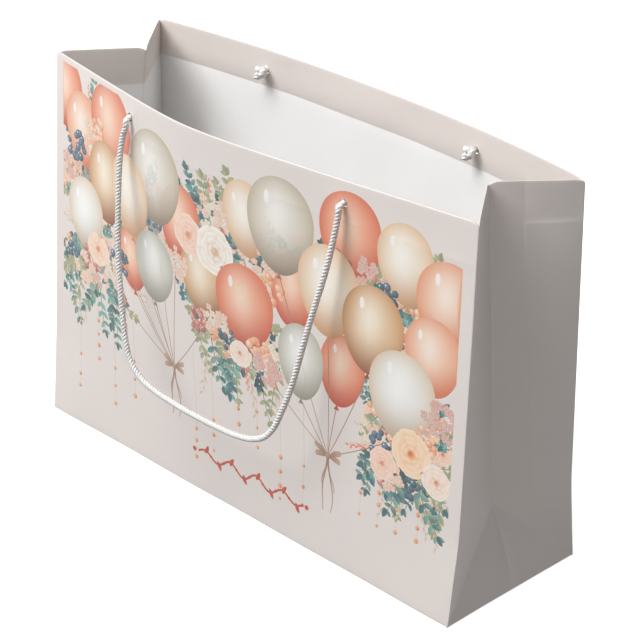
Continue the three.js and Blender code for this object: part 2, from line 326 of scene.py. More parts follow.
class Finish(Enum):
    """The finishes of the bag's pieces."""

    # Satin coated art paper with the picture on it: a soft broad gleam, and folds lightened both as worn white
    # core and as a painted highlight.
    PRINTED = PaperFinish("coated_art_paper_printed", "E3DAD5", 0.50, True, 0.12, 0.02, 0.012)
    # The same paper where it carries only the pale tint: the bottom flaps.
    TINTED = PaperFinish("coated_art_paper_tinted", "E6DDD8", 0.50, False, 0.12, 0.02, 0.012)
    # The sheet's uncoated back: bright, dull and faintly fibrous, it lights the inside of the bag.
    BARE = PaperFinish("uncoated_white_paper", "F3F2F1", 0.78, False, 0.0, 0.04, 0.015)
    # Grey board with flecks: the only dull dark surface, on the cards.
    BOARD = BoardFinish()
    # White cord whose fine filaments catch the light along each strand.
    ROPE = RopeFinish()
    # The set's white floor.
    FLOOR = FloorFinish()


_built: dict[Finish, bpy.types.Material] = {}


def finish_of(kind: Finish) -> bpy.types.Material:
    """Return a finish's material, built once."""
    if kind not in _built:
        _built[kind] = kind.value.build()
    return _built[kind]


# ---- Mesh helpers -------------------------------------------------------------------------------


def spaced(low: float, high: float, pitch: float, fixed: Iterable[float] = ()) -> np.ndarray:
    """Give even stations from low to high that also hold every fixed station.

    Args:
        low: first station.
        high: last station.
        pitch: wished distance between stations.
        fixed: stations that have to be there.

    Returns:
        The stations in rising order.
    """
    keep = sorted({low, high, *fixed})
    stations = [keep[0]]
    for start, end in zip(keep, keep[1:]):
        count = max(1, round((end - start) / pitch))
        stations += [start + (end - start) * (i + 1) / count for i in range(count)]
    return np.array(stations)


@dataclass
class MeshGather:
    """Gathers grids and loose faces into one mesh, in millimetres, and welds what touches."""

    points: list[np.ndarray] = field(default_factory=list)
    faces: list[list[int]] = field(default_factory=list)
    slots: list[int] = field(default_factory=list)
    inks: list[np.ndarray] = field(default_factory=list)
    folds: list[np.ndarray] = field(default_factory=list)
    count: int = 0

    def add(self, points: np.ndarray, faces: Sequence[Sequence[int]], slot: int, ink: np.ndarray,
            fold: Optional[np.ndarray] = None) -> None:
        """Add loose faces.

        Args:
            points: (n, 3) corners.
            faces: corner numbers of each face.
            slot: number of the material.
            ink: one colour for all, or (faces, corners, 3) colours.
            fold: wear of the fold at each corner, from 0 to 1, which the paper also shows as a painted
                highlight.
        """
        self.points.append(points)
        self.folds.append(np.zeros(len(points)) if fold is None else fold)
        for number, face in enumerate(faces):
            self.faces.append([self.count + i for i in face])
            self.slots.append(slot)
            self.inks.append(ink if ink.ndim == 1 else ink[number])
        self.count += len(points)

    def grid(self, grid: np.ndarray, slot: int, ink: np.ndarray, inside: bool = False,
             skip: Optional[np.ndarray] = None, fold: Optional[np.ndarray] = None) -> None:
        """Add a grid of quads. Its columns run anticlockwise seen from outside, its rows upward.

        Args:
            grid: (rows, columns, 3) points.
            slot: number of the material.
            ink: colour of all its faces.
            inside: whether the faces look the other way.
            skip: (rows - 1, columns - 1) cells to leave out.
            fold: (rows, columns) wear and painted highlight.
        """
        rows, columns = grid.shape[:2]
        number = np.arange(rows * columns).reshape(rows, columns)
        quads = np.stack([number[:-1, :-1], number[:-1, 1:], number[1:, 1:], number[1:, :-1]], axis=-1)
        if inside:
            quads = quads[..., ::-1]
        kept = quads.reshape(-1, 4) if skip is None else quads[~skip]
        self.add(grid.reshape(-1, 3), kept.tolist(), slot, ink, None if fold is None else fold.ravel())

    def build(self, name: str, materials: Sequence[bpy.types.Material]) -> bpy.types.Object:
        """Weld the points, drop what has no area and make the object.

        Args:
            name: name of the piece.
            materials: its materials, in the order of the slot numbers.

        Returns:
            The object, linked to the scene, in metres.
        """
        points = np.concatenate(self.points)
        folds = np.concatenate(self.folds)
        keys = np.round(points / WELD_MM).astype(np.int64)
        _, first, index = np.unique(keys, axis=0, return_index=True, return_inverse=True)
        index = index.ravel()
        corners: list[int] = []
        sizes: list[int] = []
        slots: list[int] = []
        inks: list[np.ndarray] = []
        for face, slot, ink in zip(self.faces, self.slots, self.inks):
            welded = [int(index[i]) for i in face]
            kept = [k for k in range(len(welded)) if welded[k] != welded[k - 1]]
            if len({welded[k] for k in kept}) < 3:
                continue
            corners += [welded[k] for k in kept]
            sizes.append(len(kept))
            slots.append(slot)
            inks += [ink if ink.ndim == 1 else ink[k] for k in kept]
        mesh = bpy.data.meshes.new(name)
        starts = np.concatenate([[0], np.cumsum(sizes)[:-1]])
        mesh.vertices.add(len(first))
        mesh.vertices.foreach_set("co", (points[first] * MM).astype(np.float32).ravel())
        mesh.loops.add(len(corners))
        mesh.loops.foreach_set("vertex_index", np.array(corners, np.int32))
        mesh.polygons.add(len(sizes))
        mesh.polygons.foreach_set("loop_start", starts.astype(np.int32))
        mesh.polygons.foreach_set("material_index", np.array(slots, np.int32))
        mesh.update(calc_edges=True)
        mesh.validate()
        ink_layer = mesh.attributes.new("Print", "FLOAT_COLOR", "CORNER")
        coloured = np.ones((len(corners), 4), np.float32)
        coloured[:, :3] = np.array(inks)
        if len(ink_layer.data) == len(corners):
            ink_layer.data.foreach_set("color", coloured.ravel())
        else:
            LOG.warning("%s: %d corners lost", name, len(corners) - len(ink_layer.data))
        # How much each corner is lightened: worn fold and painted highlight.
        wear_highlight_layer = mesh.attributes.new("FoldWearHighlight", "FLOAT", "POINT")
        wear_highlight_layer.data.foreach_set("value", folds[first].astype(np.float32))
        for material in materials:
            mesh.materials.append(material)
        mesh.shade_smooth()
        mesh.set_sharp_from_angle(angle=SHARP_EDGE)
        return place_object(name, mesh)


def unit(vectors: np.ndarray) -> np.ndarray:
    """Scale vectors to length 1, and leave zero ones at zero."""
    return vectors / np.maximum(np.linalg.norm(vectors, axis=-1, keepdims=True), 1e-12)


def inward_offsets(grid: np.ndarray, closed: bool) -> np.ndarray:
    """Find for each grid point the step that sinks its faces by one millimetre.

    Args:
        grid: (rows, columns, 3) outer points.
        closed: whether the last column meets the first.

    Returns:
        (rows, columns, 3) steps, longer at the corners, as a mitre is.
    """
    across = grid[:-1, 1:] - grid[1:, :-1]
    along = grid[1:, 1:] - grid[:-1, :-1]
    square = np.cross(along, across)
    normal = unit(square) * (np.linalg.norm(square, axis=-1) > 1e-4)[..., None]
    rows, columns = grid.shape[:2]
    around = np.zeros((4, rows, columns, 3))
    around[0, 1:, 1:] = normal
    around[1, 1:, :-1] = normal
    around[2, :-1, 1:] = normal
    around[3, :-1, :-1] = normal
    if closed:
        around[0, 1:, 0] = normal[:, -1]
        around[2, :-1, 0] = normal[:, -1]
        around[1, 1:, -1] = normal[:, 0]
        around[3, :-1, -1] = normal[:, 0]
    middle = unit(around.sum(axis=0))
    cosines = (around * middle).sum(axis=-1)
    used = np.linalg.norm(around, axis=-1) > 0.5
    share = (cosines * used).sum(axis=0) / np.maximum(used.sum(axis=0), 1)
    return middle / np.clip(share, 0.55, 1.0)[..., None]


# ---- Camera and studio --------------------------------------------------------------------------


@dataclass(frozen=True)
class Lamp:
    """A square soft lamp: its place and the point it looks at, in metres, its side and its watts."""

    name: str
    place: tuple[float, float, float]
    aim: tuple[float, float, float]
    side: float
    watts: float

    def build(self) -> None:
        """Hang the lamp."""
        data = bpy.data.lights.new(self.name, "AREA")
        data.shape = "SQUARE"
        data.size = self.side
        data.energy = self.watts
        lamp = place_object(self.name, data)
        lamp.location = self.place
        lamp.rotation_euler = (Vector(self.aim) - Vector(self.place)).to_track_quat("-Z", "Y").to_euler()


@dataclass(frozen=True)
class Studio:
    """Camera, floor and soft lamps of a plain white product set, in metres."""

    camera_place: tuple[float, float, float] = (1.0417, -1.0087, 0.8751)
    camera_aim: tuple[float, float, float] = (0.0215, 0.0, 0.1338)
    camera_roll_deg: float = 0.40
    lens_mm: float = 131.0
    sensor_mm: float = 36.0
    near: float = 0.05
    far: float = 40.0
    floor_half: float = 6.0
    floor_drop_mm: float = 0.05
    fill_light: float = 0.26
    seen_white: float = 1.05
    lamps: tuple[Lamp, ...] = (
        Lamp("key_lamp", (-0.75, -1.45, 2.35), (0.0, 0.0, 0.14), 1.5, 76.0),
        Lamp("inner_lamp", (-0.1, -0.9, 2.7), (0.0, 0.05, 0.2), 1.2, 12.0),
    )

    def build(self) -> None:
        """Place the camera, the floor, the lamps and the sky."""
        self._camera()
        self._floor()
        for lamp in self.lamps:
            lamp.build()
        self._sky()
        bpy.context.scene.view_settings.view_transform = "Standard"

    def _camera(self) -> None:
        """Set the camera on the bag's front right, a little above it."""
        data = bpy.data.cameras.new("camera")
        data.lens = self.lens_mm
        data.sensor_width = self.sensor_mm
        data.clip_start = self.near
        data.clip_end = self.far
        camera = place_object("camera", data)
        sight = Vector(self.camera_aim) - Vector(self.camera_place)
        roll = Quaternion((0.0, 0.0, 1.0), math.radians(self.camera_roll_deg))
        camera.rotation_mode = "QUATERNION"
        camera.rotation_quaternion = sight.to_track_quat("-Z", "Y") @ roll
        camera.location = self.camera_place
        bpy.context.scene.camera = camera

    def _floor(self) -> None:
        """Lay the floor at the level of the bag's base."""
        gather = MeshGather()
        half = self.floor_half / MM
        ends = np.linspace(-half, half, 9)
        xs, ys = np.meshgrid(ends, ends)
        gather.grid(np.stack([xs, ys, np.full_like(xs, -self.floor_drop_mm)], axis=-1), 0, np.ones(3))
        floor = gather.build("studio_floor", [finish_of(Finish.FLOOR)])
        # The set's floor throws no light back, so that the bag's far side keeps its shade.
        floor.visible_diffuse = False

    def _sky(self) -> None:
        """Give a soft white surround, which the camera sees as plain white."""
        world = bpy.data.worlds.new("white_surround")
        world.use_nodes = True
        tree = world.node_tree
        tree.nodes.clear()
        fill = add_node(tree, "ShaderNodeBackground", {"Color": (1, 1, 1, 1), "Strength": self.fill_light})
        seen = add_node(tree, "ShaderNodeBackground", {"Color": (1, 1, 1, 1), "Strength": self.seen_white})
        path = add_node(tree, "ShaderNodeLightPath")
        mix = add_node(tree, "ShaderNodeMixShader",
                       links={0: path.outputs["Is Camera Ray"], 1: fill.outputs[0], 2: seen.outputs[0]})
        add_node(tree, "ShaderNodeOutputWorld", links={"Surface": mix.outputs[0]})
        bpy.context.scene.world = world


# ---- Wall surfaces ------------------------------------------------------------------------------


class Wall(Enum):
    """The walls in order round the bag, anticlockwise seen from above."""

    FRONT = "front"
    RIGHT_FRONT = "right gusset, front half"
    RIGHT_BASE = "right base triangle"
    RIGHT_REAR = "right gusset, rear half"
    BACK = "back"
    LEFT_REAR = "left gusset, rear half"
    LEFT_BASE = "left base triangle"
    LEFT_FRONT = "left gusset, front half"


MIRROR_OF = {
    Wall.LEFT_REAR: Wall.RIGHT_REAR,
    Wall.LEFT_BASE: Wall.RIGHT_BASE,
    Wall.LEFT_FRONT: Wall.RIGHT_FRONT,
}
BASE_WALLS = (Wall.RIGHT_BASE, Wall.LEFT_BASE)
PANELS = (Wall.FRONT, Wall.BACK)

Stations = tuple[tuple[float, float, float], ...]


@dataclass(frozen=True)
class WallForm:
    """Outer faces of the open bag's walls, in millimetres. u runs anticlockwise, z is the height."""

    half_width: float = 203.0
    rim: float = 283.5
    crease: float = 63.0
    soften: float = 7.0
    front_corner: Stations = ((203, -63, 0), (204.5, -56.7, 63), (201.5, -45.5, 283.5))
    rear_corner: Stations = ((203, 63, 0), (204.7, 54.5, 63), (203, 51.5, 283.5))
    apex: tuple[float, float, float] = (183.3, 0, 59.8)
    gusset_rim: tuple[float, float, float] = (163.6, 4.7, 283.5)
    front_bow: float = 26.5
    front_peak: float = -32.0
    front_rounding: float = 0.2
    rear_bow: float = 16.5
    rear_power: float = 2.2
    seam_low: float = 0.487
    seam_high: float = 0.353
    seam_mark: float = 0.42

    def _line(self, stations: Stations, z: np.ndarray, soft: bool) -> np.ndarray:
        """Follow a line through three stations.

        Args:
            stations: its points at the base, at the crease and at the rim.
            z: heights of the wall rows.
            soft: whether its bend at the crease is rounded.

        Returns:
            One point for each height.
        """
        base, bend, top = (np.array(s, float) for s in stations)
        low = (bend - base) / self.crease
        high = (top - bend) / (self.rim - self.crease)
        over = z - self.crease
        if soft:
            inside = np.abs(over) < self.soften
            ramp = np.where(inside, (over + self.soften) ** 2 / (4 * self.soften), np.maximum(over, 0))
        else:
            ramp = np.maximum(over, 0)
        return base + z[..., None] * low + ramp[..., None] * (high - low)

    def corner(self, rear: bool, z: np.ndarray) -> np.ndarray:
        """Follow an upright corner of the right side."""
        return self._line(self.rear_corner if rear else self.front_corner, z, soft=True)

    def middle(self, rear: bool, z: np.ndarray) -> np.ndarray:
        """Follow the slanted fold of the base triangle, then the gusset's upright middle fold."""
        start = (self.rear_corner if rear else self.front_corner)[0]
        return self._line((start, self.apex, self.gusset_rim), z, soft=False)

    def bow_front(self, x: np.ndarray) -> np.ndarray:
        """Give how far the front panel's rim bows out at x."""
        reach = np.where(x > self.front_peak, self.half_width - self.front_peak,
                         self.half_width + self.front_peak)
        share = (x - self.front_peak) / reach
        top = math.hypot(1, self.front_rounding)
        return self.front_bow * (top - np.hypot(share, self.front_rounding)) / (top - self.front_rounding)

    def bow_rear(self, x: np.ndarray) -> np.ndarray:
        """Give how far the back panel's rim bows out at x."""
        share = np.minimum(np.abs(x) / self.half_width, 1)
        return self.rear_bow * (1 - share**self.rear_power)

    def seam_u(self, z: np.ndarray) -> np.ndarray:
        """Give the glued seam's place across the rear half of a gusset."""
        share = np.clip((z - self.crease) / (self.rim - self.crease), 0, 1)
        return self.seam_low + (self.seam_high - self.seam_low) * share

    def point(self, wall: Wall, u: np.ndarray, z: np.ndarray) -> np.ndarray:
        """Find points of a wall's outer face.

        Args:
            wall: which wall.
            u: shares across it, anticlockwise.
            z: heights, of the same shape as u.

        Returns:
            The points, in an array with one more axis.
        """
        if wall in MIRROR_OF:
            return self.point(MIRROR_OF[wall], 1 - u, z) * np.array([-1, 1, 1])
        if wall in PANELS:
            rear = wall is Wall.BACK
            corner = self.corner(rear, z)
            x = corner[..., 0] * ((1 - 2 * u) if rear else (2 * u - 1))
            bow = self.bow_rear(x) if rear else -self.bow_front(x)
            return np.stack([x, corner[..., 1] + bow * z / self.rim, corner[..., 2]], axis=-1)
        if wall is Wall.RIGHT_BASE:
            ends = self.middle(False, z), self.middle(True, z)
        elif wall is Wall.RIGHT_FRONT:
            ends = self.corner(False, z), self.middle(False, z)
        else:
            ends = self.middle(True, z), self.corner(True, z)
            seam = self.seam_u(z)
            mark = self.seam_mark
            u = np.where(u < mark, u / mark * seam, seam + (u - mark) / (1 - mark) * (1 - seam))
        return ends[0] + (ends[1] - ends[0]) * u[..., None]

    def outward(self, wall: Wall, u: np.ndarray, z: np.ndarray) -> np.ndarray:
        """Find the outward unit normals at points of a wall."""
        step_u, step_z = 0.002, 0.5
        across = self.point(wall, u + step_u, z) - self.point(wall, u - step_u, z)
        up = self.point(wall, u, z + step_z) - self.point(wall, u, z - step_z)
        return unit(np.cross(across, up))


# ---- The folded sheet ---------------------------------------------------------------------------


@dataclass
class FoldedSheet:
    """The bag's body: one sheet of printed paper, folded at its creases, with its top turned in."""

    form: WallForm
    paper: float = 0.35
    panel_roll: float = 0.65
    gusset_roll: float = 0.5
    hem_height: float = 28.0
    rim_steps: int = 6
    lip_press: float = 0.9
    lip_reach: float = 6.5
    corner_drop: float = 2.6
    corner_reach: float = 4.5
    foot_roll: float = 0.6
    foot_lip: float = 0.5
    pitch: float = 6.0
    hole_x: float = 100.0
    hole_z: float = 268.0
    hole_radius: float = 3.0
    hole_frame: float = 9.0
    print_edge: float = 196.5
    print_foot: float = 4.0
    print_top: float = 281.0
    gusset_half: float = 61.0
    base_depth: float = 126.0
    waves: int = 6
    wave_height: float = 0.11
    wave_length: tuple[float, float] = (55.0, 170.0)
    hem_ridge: float = 0.16
    hole_pull: float = 0.22
    crease_dent: float = 0.25
    base_ridge: float = 2.2
    rear_belly: float = 0.9
    front_belly: float = -0.7
    seam_sink: float = 0.45
    seam_step: float = 0.35
    seam_swell: float = 0.6
    rim_dent: float = 0.6
    pleat: float = 0.45
    hem_step: float = 0.4
    # Lightening of the rim's fold and of the wall creases: worn paper and a painted highlight.
    rim_wear_and_highlight: float = 0.25
    fold_wear_and_highlight: float = 0.4
    tint: str = "E6DDD8"
    white: str = "F3F2F1"
    art: dict[Wall, "PrintedArt"] = field(default_factory=dict)
    seed: int = 11

    def _levels(self) -> tuple[np.ndarray, np.ndarray]:
        """Choose the heights of the wall rows below and above the crease."""
        form = self.form
        hem = form.rim - self.hem_height
        top = form.rim - self.panel_roll
        low = spaced(self.foot_roll, form.crease, self.pitch,
                     [self.print_foot, form.crease - 1.4, form.crease - 0.6])
        high = spaced(form.crease, top, self.pitch,
                      [form.crease + 0.6, form.crease + 1.4, hem - 1.6, hem - 0.5, hem, hem + 1.2,
                       self.hole_z - self.hole_frame, self.hole_z + self.hole_frame, self.print_top])
        return low, high

    def _stations(self, wall: Wall) -> np.ndarray:
        """Choose the shares across a wall at which its columns stand."""
        half = self.form.half_width
        if wall in PANELS:
            hole = self.hole_flat_x()
            frame = self.hole_frame
            fixed = [s * d for s in (-1, 1) for d in
                     (half - 0.5, half - 1.3, self.print_edge, hole - frame, hole + frame)]
            return (spaced(-half, half, self.pitch, fixed) / half + 1) / 2
        width = self.base_depth if wall in BASE_WALLS else self.gusset_half
        ends = [0.5, 1.3, width - 1.3, width - 0.5]
        if wall in BASE_WALLS:
            return spaced(0, width, self.pitch, [*ends, width / 2 - 1.2, width / 2, width / 2 + 1.2]) / width
        mark = self.form.seam_mark * width
        seam = [mark - 1.4, mark - 0.45, mark + 0.45, mark + 1.4]
        extra = {Wall.RIGHT_REAR: seam, Wall.LEFT_REAR: [width - s for s in seam]}.get(wall, [])
        return spaced(0, width, self.pitch * 0.75, [*ends, *extra]) / width

    def hole_flat_x(self) -> float:
        """Give a hole's sideways place, measured as on the flat panel at the base's width."""
        corner = self.form.corner(False, np.array(self.hole_z))[..., 0]
        return float(self.hole_x * self.form.half_width / corner)

    def relief(self, wall: Wall, u: np.ndarray, z: np.ndarray) -> np.ndarray:
        """Find how far the paper stands out of the ideal wall, in millimetres.

        Args:
            wall: which wall.
            u: shares across it.
            z: heights.

        Returns:
            The height of soft waves, of the hem's edge showing through, of the seam and its dents.
        """
        form = self.form
        waves = random.Random(f"{self.seed}-{wall.value}")
        width = 2 * form.half_width if wall in PANELS else self.gusset_half
        x = u * width
        raised = np.zeros(np.broadcast(u, z).shape)
        for _ in range(self.waves):
            length = waves.uniform(*self.wave_length)
            turn = waves.uniform(0, math.pi)
            phase = waves.uniform(0, 2 * math.pi)
            swell = math.cos(turn) * x + math.sin(turn) * z
            raised = raised + self.wave_height * np.sin(2 * math.pi * swell / length + phase)
        edge = np.minimum(x, width - x)
        raised = raised * np.clip(edge / 14, 0, 1) * np.clip((form.rim - z) / 12, 0.15, 1)
        hem = form.rim - self.hem_height
        if wall in PANELS:
            raised = raised + self.hem_ridge * np.exp(-(((z - hem) / 1.5) ** 2)) * np.clip(edge / 5, 0, 1)
            for side in (-1, 1):
                bar = x - form.half_width - side * self.hole_x
                pull = np.exp(-((bar / 9) ** 2) - (((z - self.hole_z) / 7) ** 2))
                raised = raised + self.hole_pull * pull
        elif wall not in BASE_WALLS:
            raised = raised - self.crease_dent * np.exp(-((z - form.crease) ** 2)) * np.clip(edge / 8, 0, 1)
            raised = raised + self._swelling(wall, u, z)
        else:
            # The triangle's middle crease stands proud, left from folding the bag flat.
            ridge = self.base_ridge * np.exp(-np.abs(u - 0.5) * self.base_depth / 9)
            raised = raised + ridge * np.clip((form.apex[2] - z) / 40, 0, 1) * np.clip(z / 10, 0, 1)
        if wall is Wall.RIGHT_REAR:
            raised = raised + self._seam(u, z)
        return raised

    def _swelling(self, wall: Wall, u: np.ndarray, z: np.ndarray) -> np.ndarray:
        """Let a gusset half belly a little between its folds."""
        share = np.clip((z - self.form.crease) / (self.form.rim - self.form.crease), 0, 1)
        belly = np.sin(np.pi * np.clip(u, 0, 1)) * np.sin(np.pi * share**0.8)
        return (self.rear_belly if wall in (Wall.RIGHT_REAR, Wall.LEFT_REAR) else self.front_belly) * belly

    def _seam(self, u: np.ndarray, z: np.ndarray) -> np.ndarray:
        """Raise the outer layer behind the glued seam, and dent the paper where the seam meets the rim."""
        form = self.form
        mark = form.seam_mark
        past = (u - mark) * self.gusset_half
        height = np.clip((z - 20) / 20, 0, 1)
        # The panel sinks towards the seam, and its outer layer swells behind it.
        before = -self.seam_sink * np.clip(u / mark, 0, 1) ** 1.4
        share = np.clip((u - mark) / (1 - mark), 0, 1)
        behind = np.interp(share, [0, 0.08, 0.7, 1.0],
                           [self.seam_step - self.seam_sink, 0.0, self.seam_swell, 0.0])
        step = np.clip((past + 0.45) / 0.9, 0, 1)
        raised = (before * (1 - step) + behind * step) * height
        near_top = np.clip((z - (form.rim - 24)) / 24, 0, 1) ** 0.7
        dent = -self.rim_dent * np.exp(-np.maximum(past, 0) / 4.5) * step * near_top * (1 - share)
        slant = past - 7 - 0.9 * (z - 266)
        pleat = self.pleat * np.exp(-((slant / 1.6) ** 2)) * np.exp(-(((past - 7) / 6) ** 2))
        hem = form.rim - self.hem_height
        above = np.exp(-((np.maximum(z - hem, 0) / 16) ** 2))
        hem_edge = self.hem_step * np.clip((z - hem + 0.5) / 1.7, 0, 1) * above
        return raised + dent + pleat * near_top - hem_edge * step * np.clip((1 - share) * 8, 0, 1)

    def _loop(self, walls: Sequence[Wall], z: np.ndarray) -> tuple[np.ndarray, dict[Wall, tuple[int, int]]]:
        """Lay the outer points of some rows right round the bag.

        Args:
            walls: the walls in order.
            z: heights of the rows.

        Returns:
            (rows, columns, 3) points with the last column on the first, and each wall's column range.
        """
        parts: list[np.ndarray] = []
        spans: dict[Wall, tuple[int, int]] = {}
        start = 0
        for wall in walls:
            u, height = np.meshgrid(self._stations(wall), z)
            points = self.form.point(wall, u, height)
            points = points + self.form.outward(wall, u, height) * self.relief(wall, u, height)[..., None]
            spans[wall] = (start, start + u.shape[1] - 1)
            start += u.shape[1] - 1
            parts.append(points[:, :-1])
        loop = np.concatenate(parts, axis=1)
        return np.concatenate([loop, loop[:, :1]], axis=1), spans

    @staticmethod
    def _round_folds(loop: np.ndarray, spans: dict[Wall, tuple[int, int]]) -> np.ndarray:
        """Round the upright and slanted folds by pulling their points towards their neighbours."""
        rounded = loop.copy()
        last = loop.shape[1] - 1
        for start, _ in spans.values():
            before = loop[:, start - 1] if start else loop[:, last - 1]
            rounded[:, start] = loop[:, start] * 0.45 + (before + loop[:, start + 1]) * 0.275
        rounded[:, last] = rounded[:, 0]
        return rounded

    def _dip_corners(self, high: np.ndarray, spans: dict[Wall, tuple[int, int]]) -> np.ndarray:
        """Round the rim's corners: the paper dips a little where it turns from one wall to the next."""
        apart = np.full(high.shape[1], np.inf)
        steps = np.linalg.norm(np.diff(high[-1], axis=0), axis=1)
        run = np.concatenate([[0], np.cumsum(steps)])
        for start, _ in spans.values():
            apart = np.minimum(apart, np.abs(run - run[start]))
            apart = np.minimum(apart, run[-1] - np.abs(run - run[start]))
        drop = self.corner_drop * np.clip(1 - apart / self.corner_reach, 0, 1) ** 2
        fade = np.clip((high[:, 0, 2] - (self.form.rim - 8)) / 8, 0, 1)
        dipped = high.copy()
        dipped[..., 2] -= fade[:, None] * drop[None]
        return dipped

    def _profile(self, wall_rows: np.ndarray, sink: np.ndarray, roll: np.ndarray, inner: bool) -> np.ndarray:
        """Turn the top rows over the rim and down inside as the hem.

        Args:
            wall_rows: (rows, columns, 3) points up to the rim.
            sink: the step inward by a millimetre at each.
            roll: radius of the rim's fold at each column.
            inner: whether to follow the sheet's white side.

        Returns:
            The rows of the wall, the fold and the hem, one after another.
        """
        thick = self.paper if inner else 0.0
        hem_rows = int(np.sum(wall_rows[:, 0, 2] > self.form.rim - self.hem_height - 0.01))
        rows = [wall_rows + sink * thick]
        level = sink[-1:] * np.array([1, 1, 0])
        for angle in np.linspace(0, math.pi, self.rim_steps + 2)[1:-1]:
            depth = roll - (roll - thick) * math.cos(angle)
            lift = (self.panel_roll - thick) * math.sin(angle)
            rows.append(wall_rows[-1:] + level * depth[None, :, None] + np.array([0, 0, lift]))
        # Below the card, the hem lies closer and closer to the wall.
        height = wall_rows[-hem_rows:, 0, 2] - (self.form.rim - self.hem_height)
        press = self.lip_press * np.clip(1 - height / self.lip_reach, 0, 1)
        least = self.paper + (0.03 if inner else 0.11)
        depth = np.maximum((2 * roll - thick)[None] - press[:, None], least)
        turned = wall_rows[-hem_rows:] + sink[-hem_rows:] * depth[..., None]
        rows.append(turned[::-1])
        return np.concatenate(rows)

    def _foot(self, wall_rows: np.ndarray, sink: np.ndarray, inner: bool) -> np.ndarray:
        """Turn the lowest row in under the bag, as far as the bottom flaps."""
        thick = self.paper if inner else 0.0
        level = sink[:1] * np.array([1, 1, 0])
        roll = self.foot_roll
        rows = [wall_rows[:1] + level * (roll + self.foot_lip) - np.array([0, 0, roll - thick])]
        for angle in np.linspace(math.pi / 2, 0, 5)[:-1]:
            depth = roll - (roll - thick) * math.cos(angle)
            lift = -(roll - thick) * math.sin(angle)
            rows.append(wall_rows[:1] + level * depth + np.array([0, 0, lift]))
        return np.concatenate(rows)

    def build(self) -> bpy.types.Object:
        """Build the sheet, dress it and set it on the bag's body.

        Returns:
            The piece.
        """
        low_z, high_z = self._levels()
        upper_walls = [w for w in Wall if w not in BASE_WALLS]
        low, low_spans = self._loop(list(Wall), low_z)
        high, high_spans = self._loop(upper_walls, high_z)
        low = self._round_folds(low, low_spans)
        high = self._round_folds(high, high_spans)
        low, high = self._join_at_crease(low, low_spans, high, high_spans)
        high = self._dip_corners(high, high_spans)
        low_sink = inward_offsets(low, closed=True)
        high_sink = inward_offsets(high, closed=True)
        low_sink[-1] = self._copied_row(high_sink[0], low_spans, high_spans)
        roll = self._rolls(high_spans, high.shape[1])
        gather = MeshGather()
        ink, bare = np.array(linear(self.tint)), np.array(linear(self.white))
        cuts: list[tuple[np.ndarray, np.ndarray]] = []
        for inner in (False, True):
            slot, colour = (1, bare) if inner else (0, ink)
            foot = self._foot(low, low_sink, inner)
            lower = np.concatenate([foot, low + low_sink * (self.paper if inner else 0.0)])
            upper = self._profile(high, high_sink, roll, inner)
            self._lay(gather, lower, low_spans, len(foot), low_z, slot, colour, inner, hem=False)
            self._lay(gather, upper, high_spans, 0, high_z, slot, colour, inner, hem=True)
            cuts.append((lower[0], upper[-1]))
        # The cut edges at the foot and at the hem close the sheet between its two sides.
        for (outer_cut, inner_cut), inside in zip(zip(*cuts), (True, False)):
            gather.grid(np.stack([outer_cut, inner_cut]), 1, bare, inside=inside)
        if self.art:
            self._lay_print(gather, low, high, low_spans, high_spans, low_z, high_z)
        piece = gather.build("printed_sheet", [finish_of(Finish.PRINTED), finish_of(Finish.BARE)])
        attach(piece, "bag")
        nodes = [n for n in frame["nodes"] if "gusset" in n or "hem" in n or "panel" in n]
        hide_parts(*nodes, "right_base_triangle", "left_base_triangle", "side_seam_tab")
        return piece

    def _join_at_crease(self, low: np.ndarray, low_spans: dict, high: np.ndarray,
                        high_spans: dict) -> tuple[np.ndarray, np.ndarray]:
        """Make the lower rows end exactly where the upper ones start, over a soft fold."""
        low, high = low.copy(), high.copy()
        for wall, (start, end) in high_spans.items():
            a, b = low_spans[wall]
            if wall not in PANELS:
                inner = slice(start + 1, end)
                neighbours = (low[-2, a + 1 : b] + high[1, inner]) / 2
                high[0, inner] = high[0, inner] * 0.5 + neighbours * 0.5
        low[-1] = self._copied_row(high[0], low_spans, high_spans)
        return low, high

    @staticmethod
    def _copied_row(row: np.ndarray, low_spans: dict, high_spans: dict) -> np.ndarray:
        """Spread a row of the upper loop over the lower loop's columns."""
        columns = max(end for _, end in low_spans.values()) + 1
        copied = np.zeros((columns, 3))
        for wall, (start, end) in low_spans.items():
            if wall in high_spans:
                a, b = high_spans[wall]
                copied[start : end + 1] = row[a : b + 1]
        for wall in BASE_WALLS:
            start, end = low_spans[wall]
            copied[start : end + 1] = copied[start]
        return copied

    def _rolls(self, spans: dict, columns: int) -> np.ndarray:
        """Give the rim fold's radius at each column: wider where a card lies inside."""
        rolls = np.full(columns, self.gusset_roll)
        for wall in PANELS:
            start, end = spans[wall]
            rolls[start : end + 1] = self.panel_roll
        rolls[0] = rolls[-1] = self.panel_roll
        return rolls

    def _lay(self, gather: MeshGather, grid: np.ndarray, spans: dict, offset: int, levels: np.ndarray,
             slot: int, ink: np.ndarray, inner: bool, hem: bool) -> None:
        """Add one side's grid, with rectangles left out for the print and the holes.

        Args:
            gather: where the faces go.
            grid: rows of the wall, with the foot below or the rim and hem above.
            spans: each wall's columns.
            offset: number of rows before the first wall row.
            levels: heights of the wall rows.
            slot: number of the material.
            ink: colour.
            inner: whether this is the white side.
            hem: whether the grid holds the rim and the hem.
        """
        skip = np.zeros((grid.shape[0] - 1, grid.shape[1] - 1), bool)
        fold = np.zeros(grid.shape[:2])
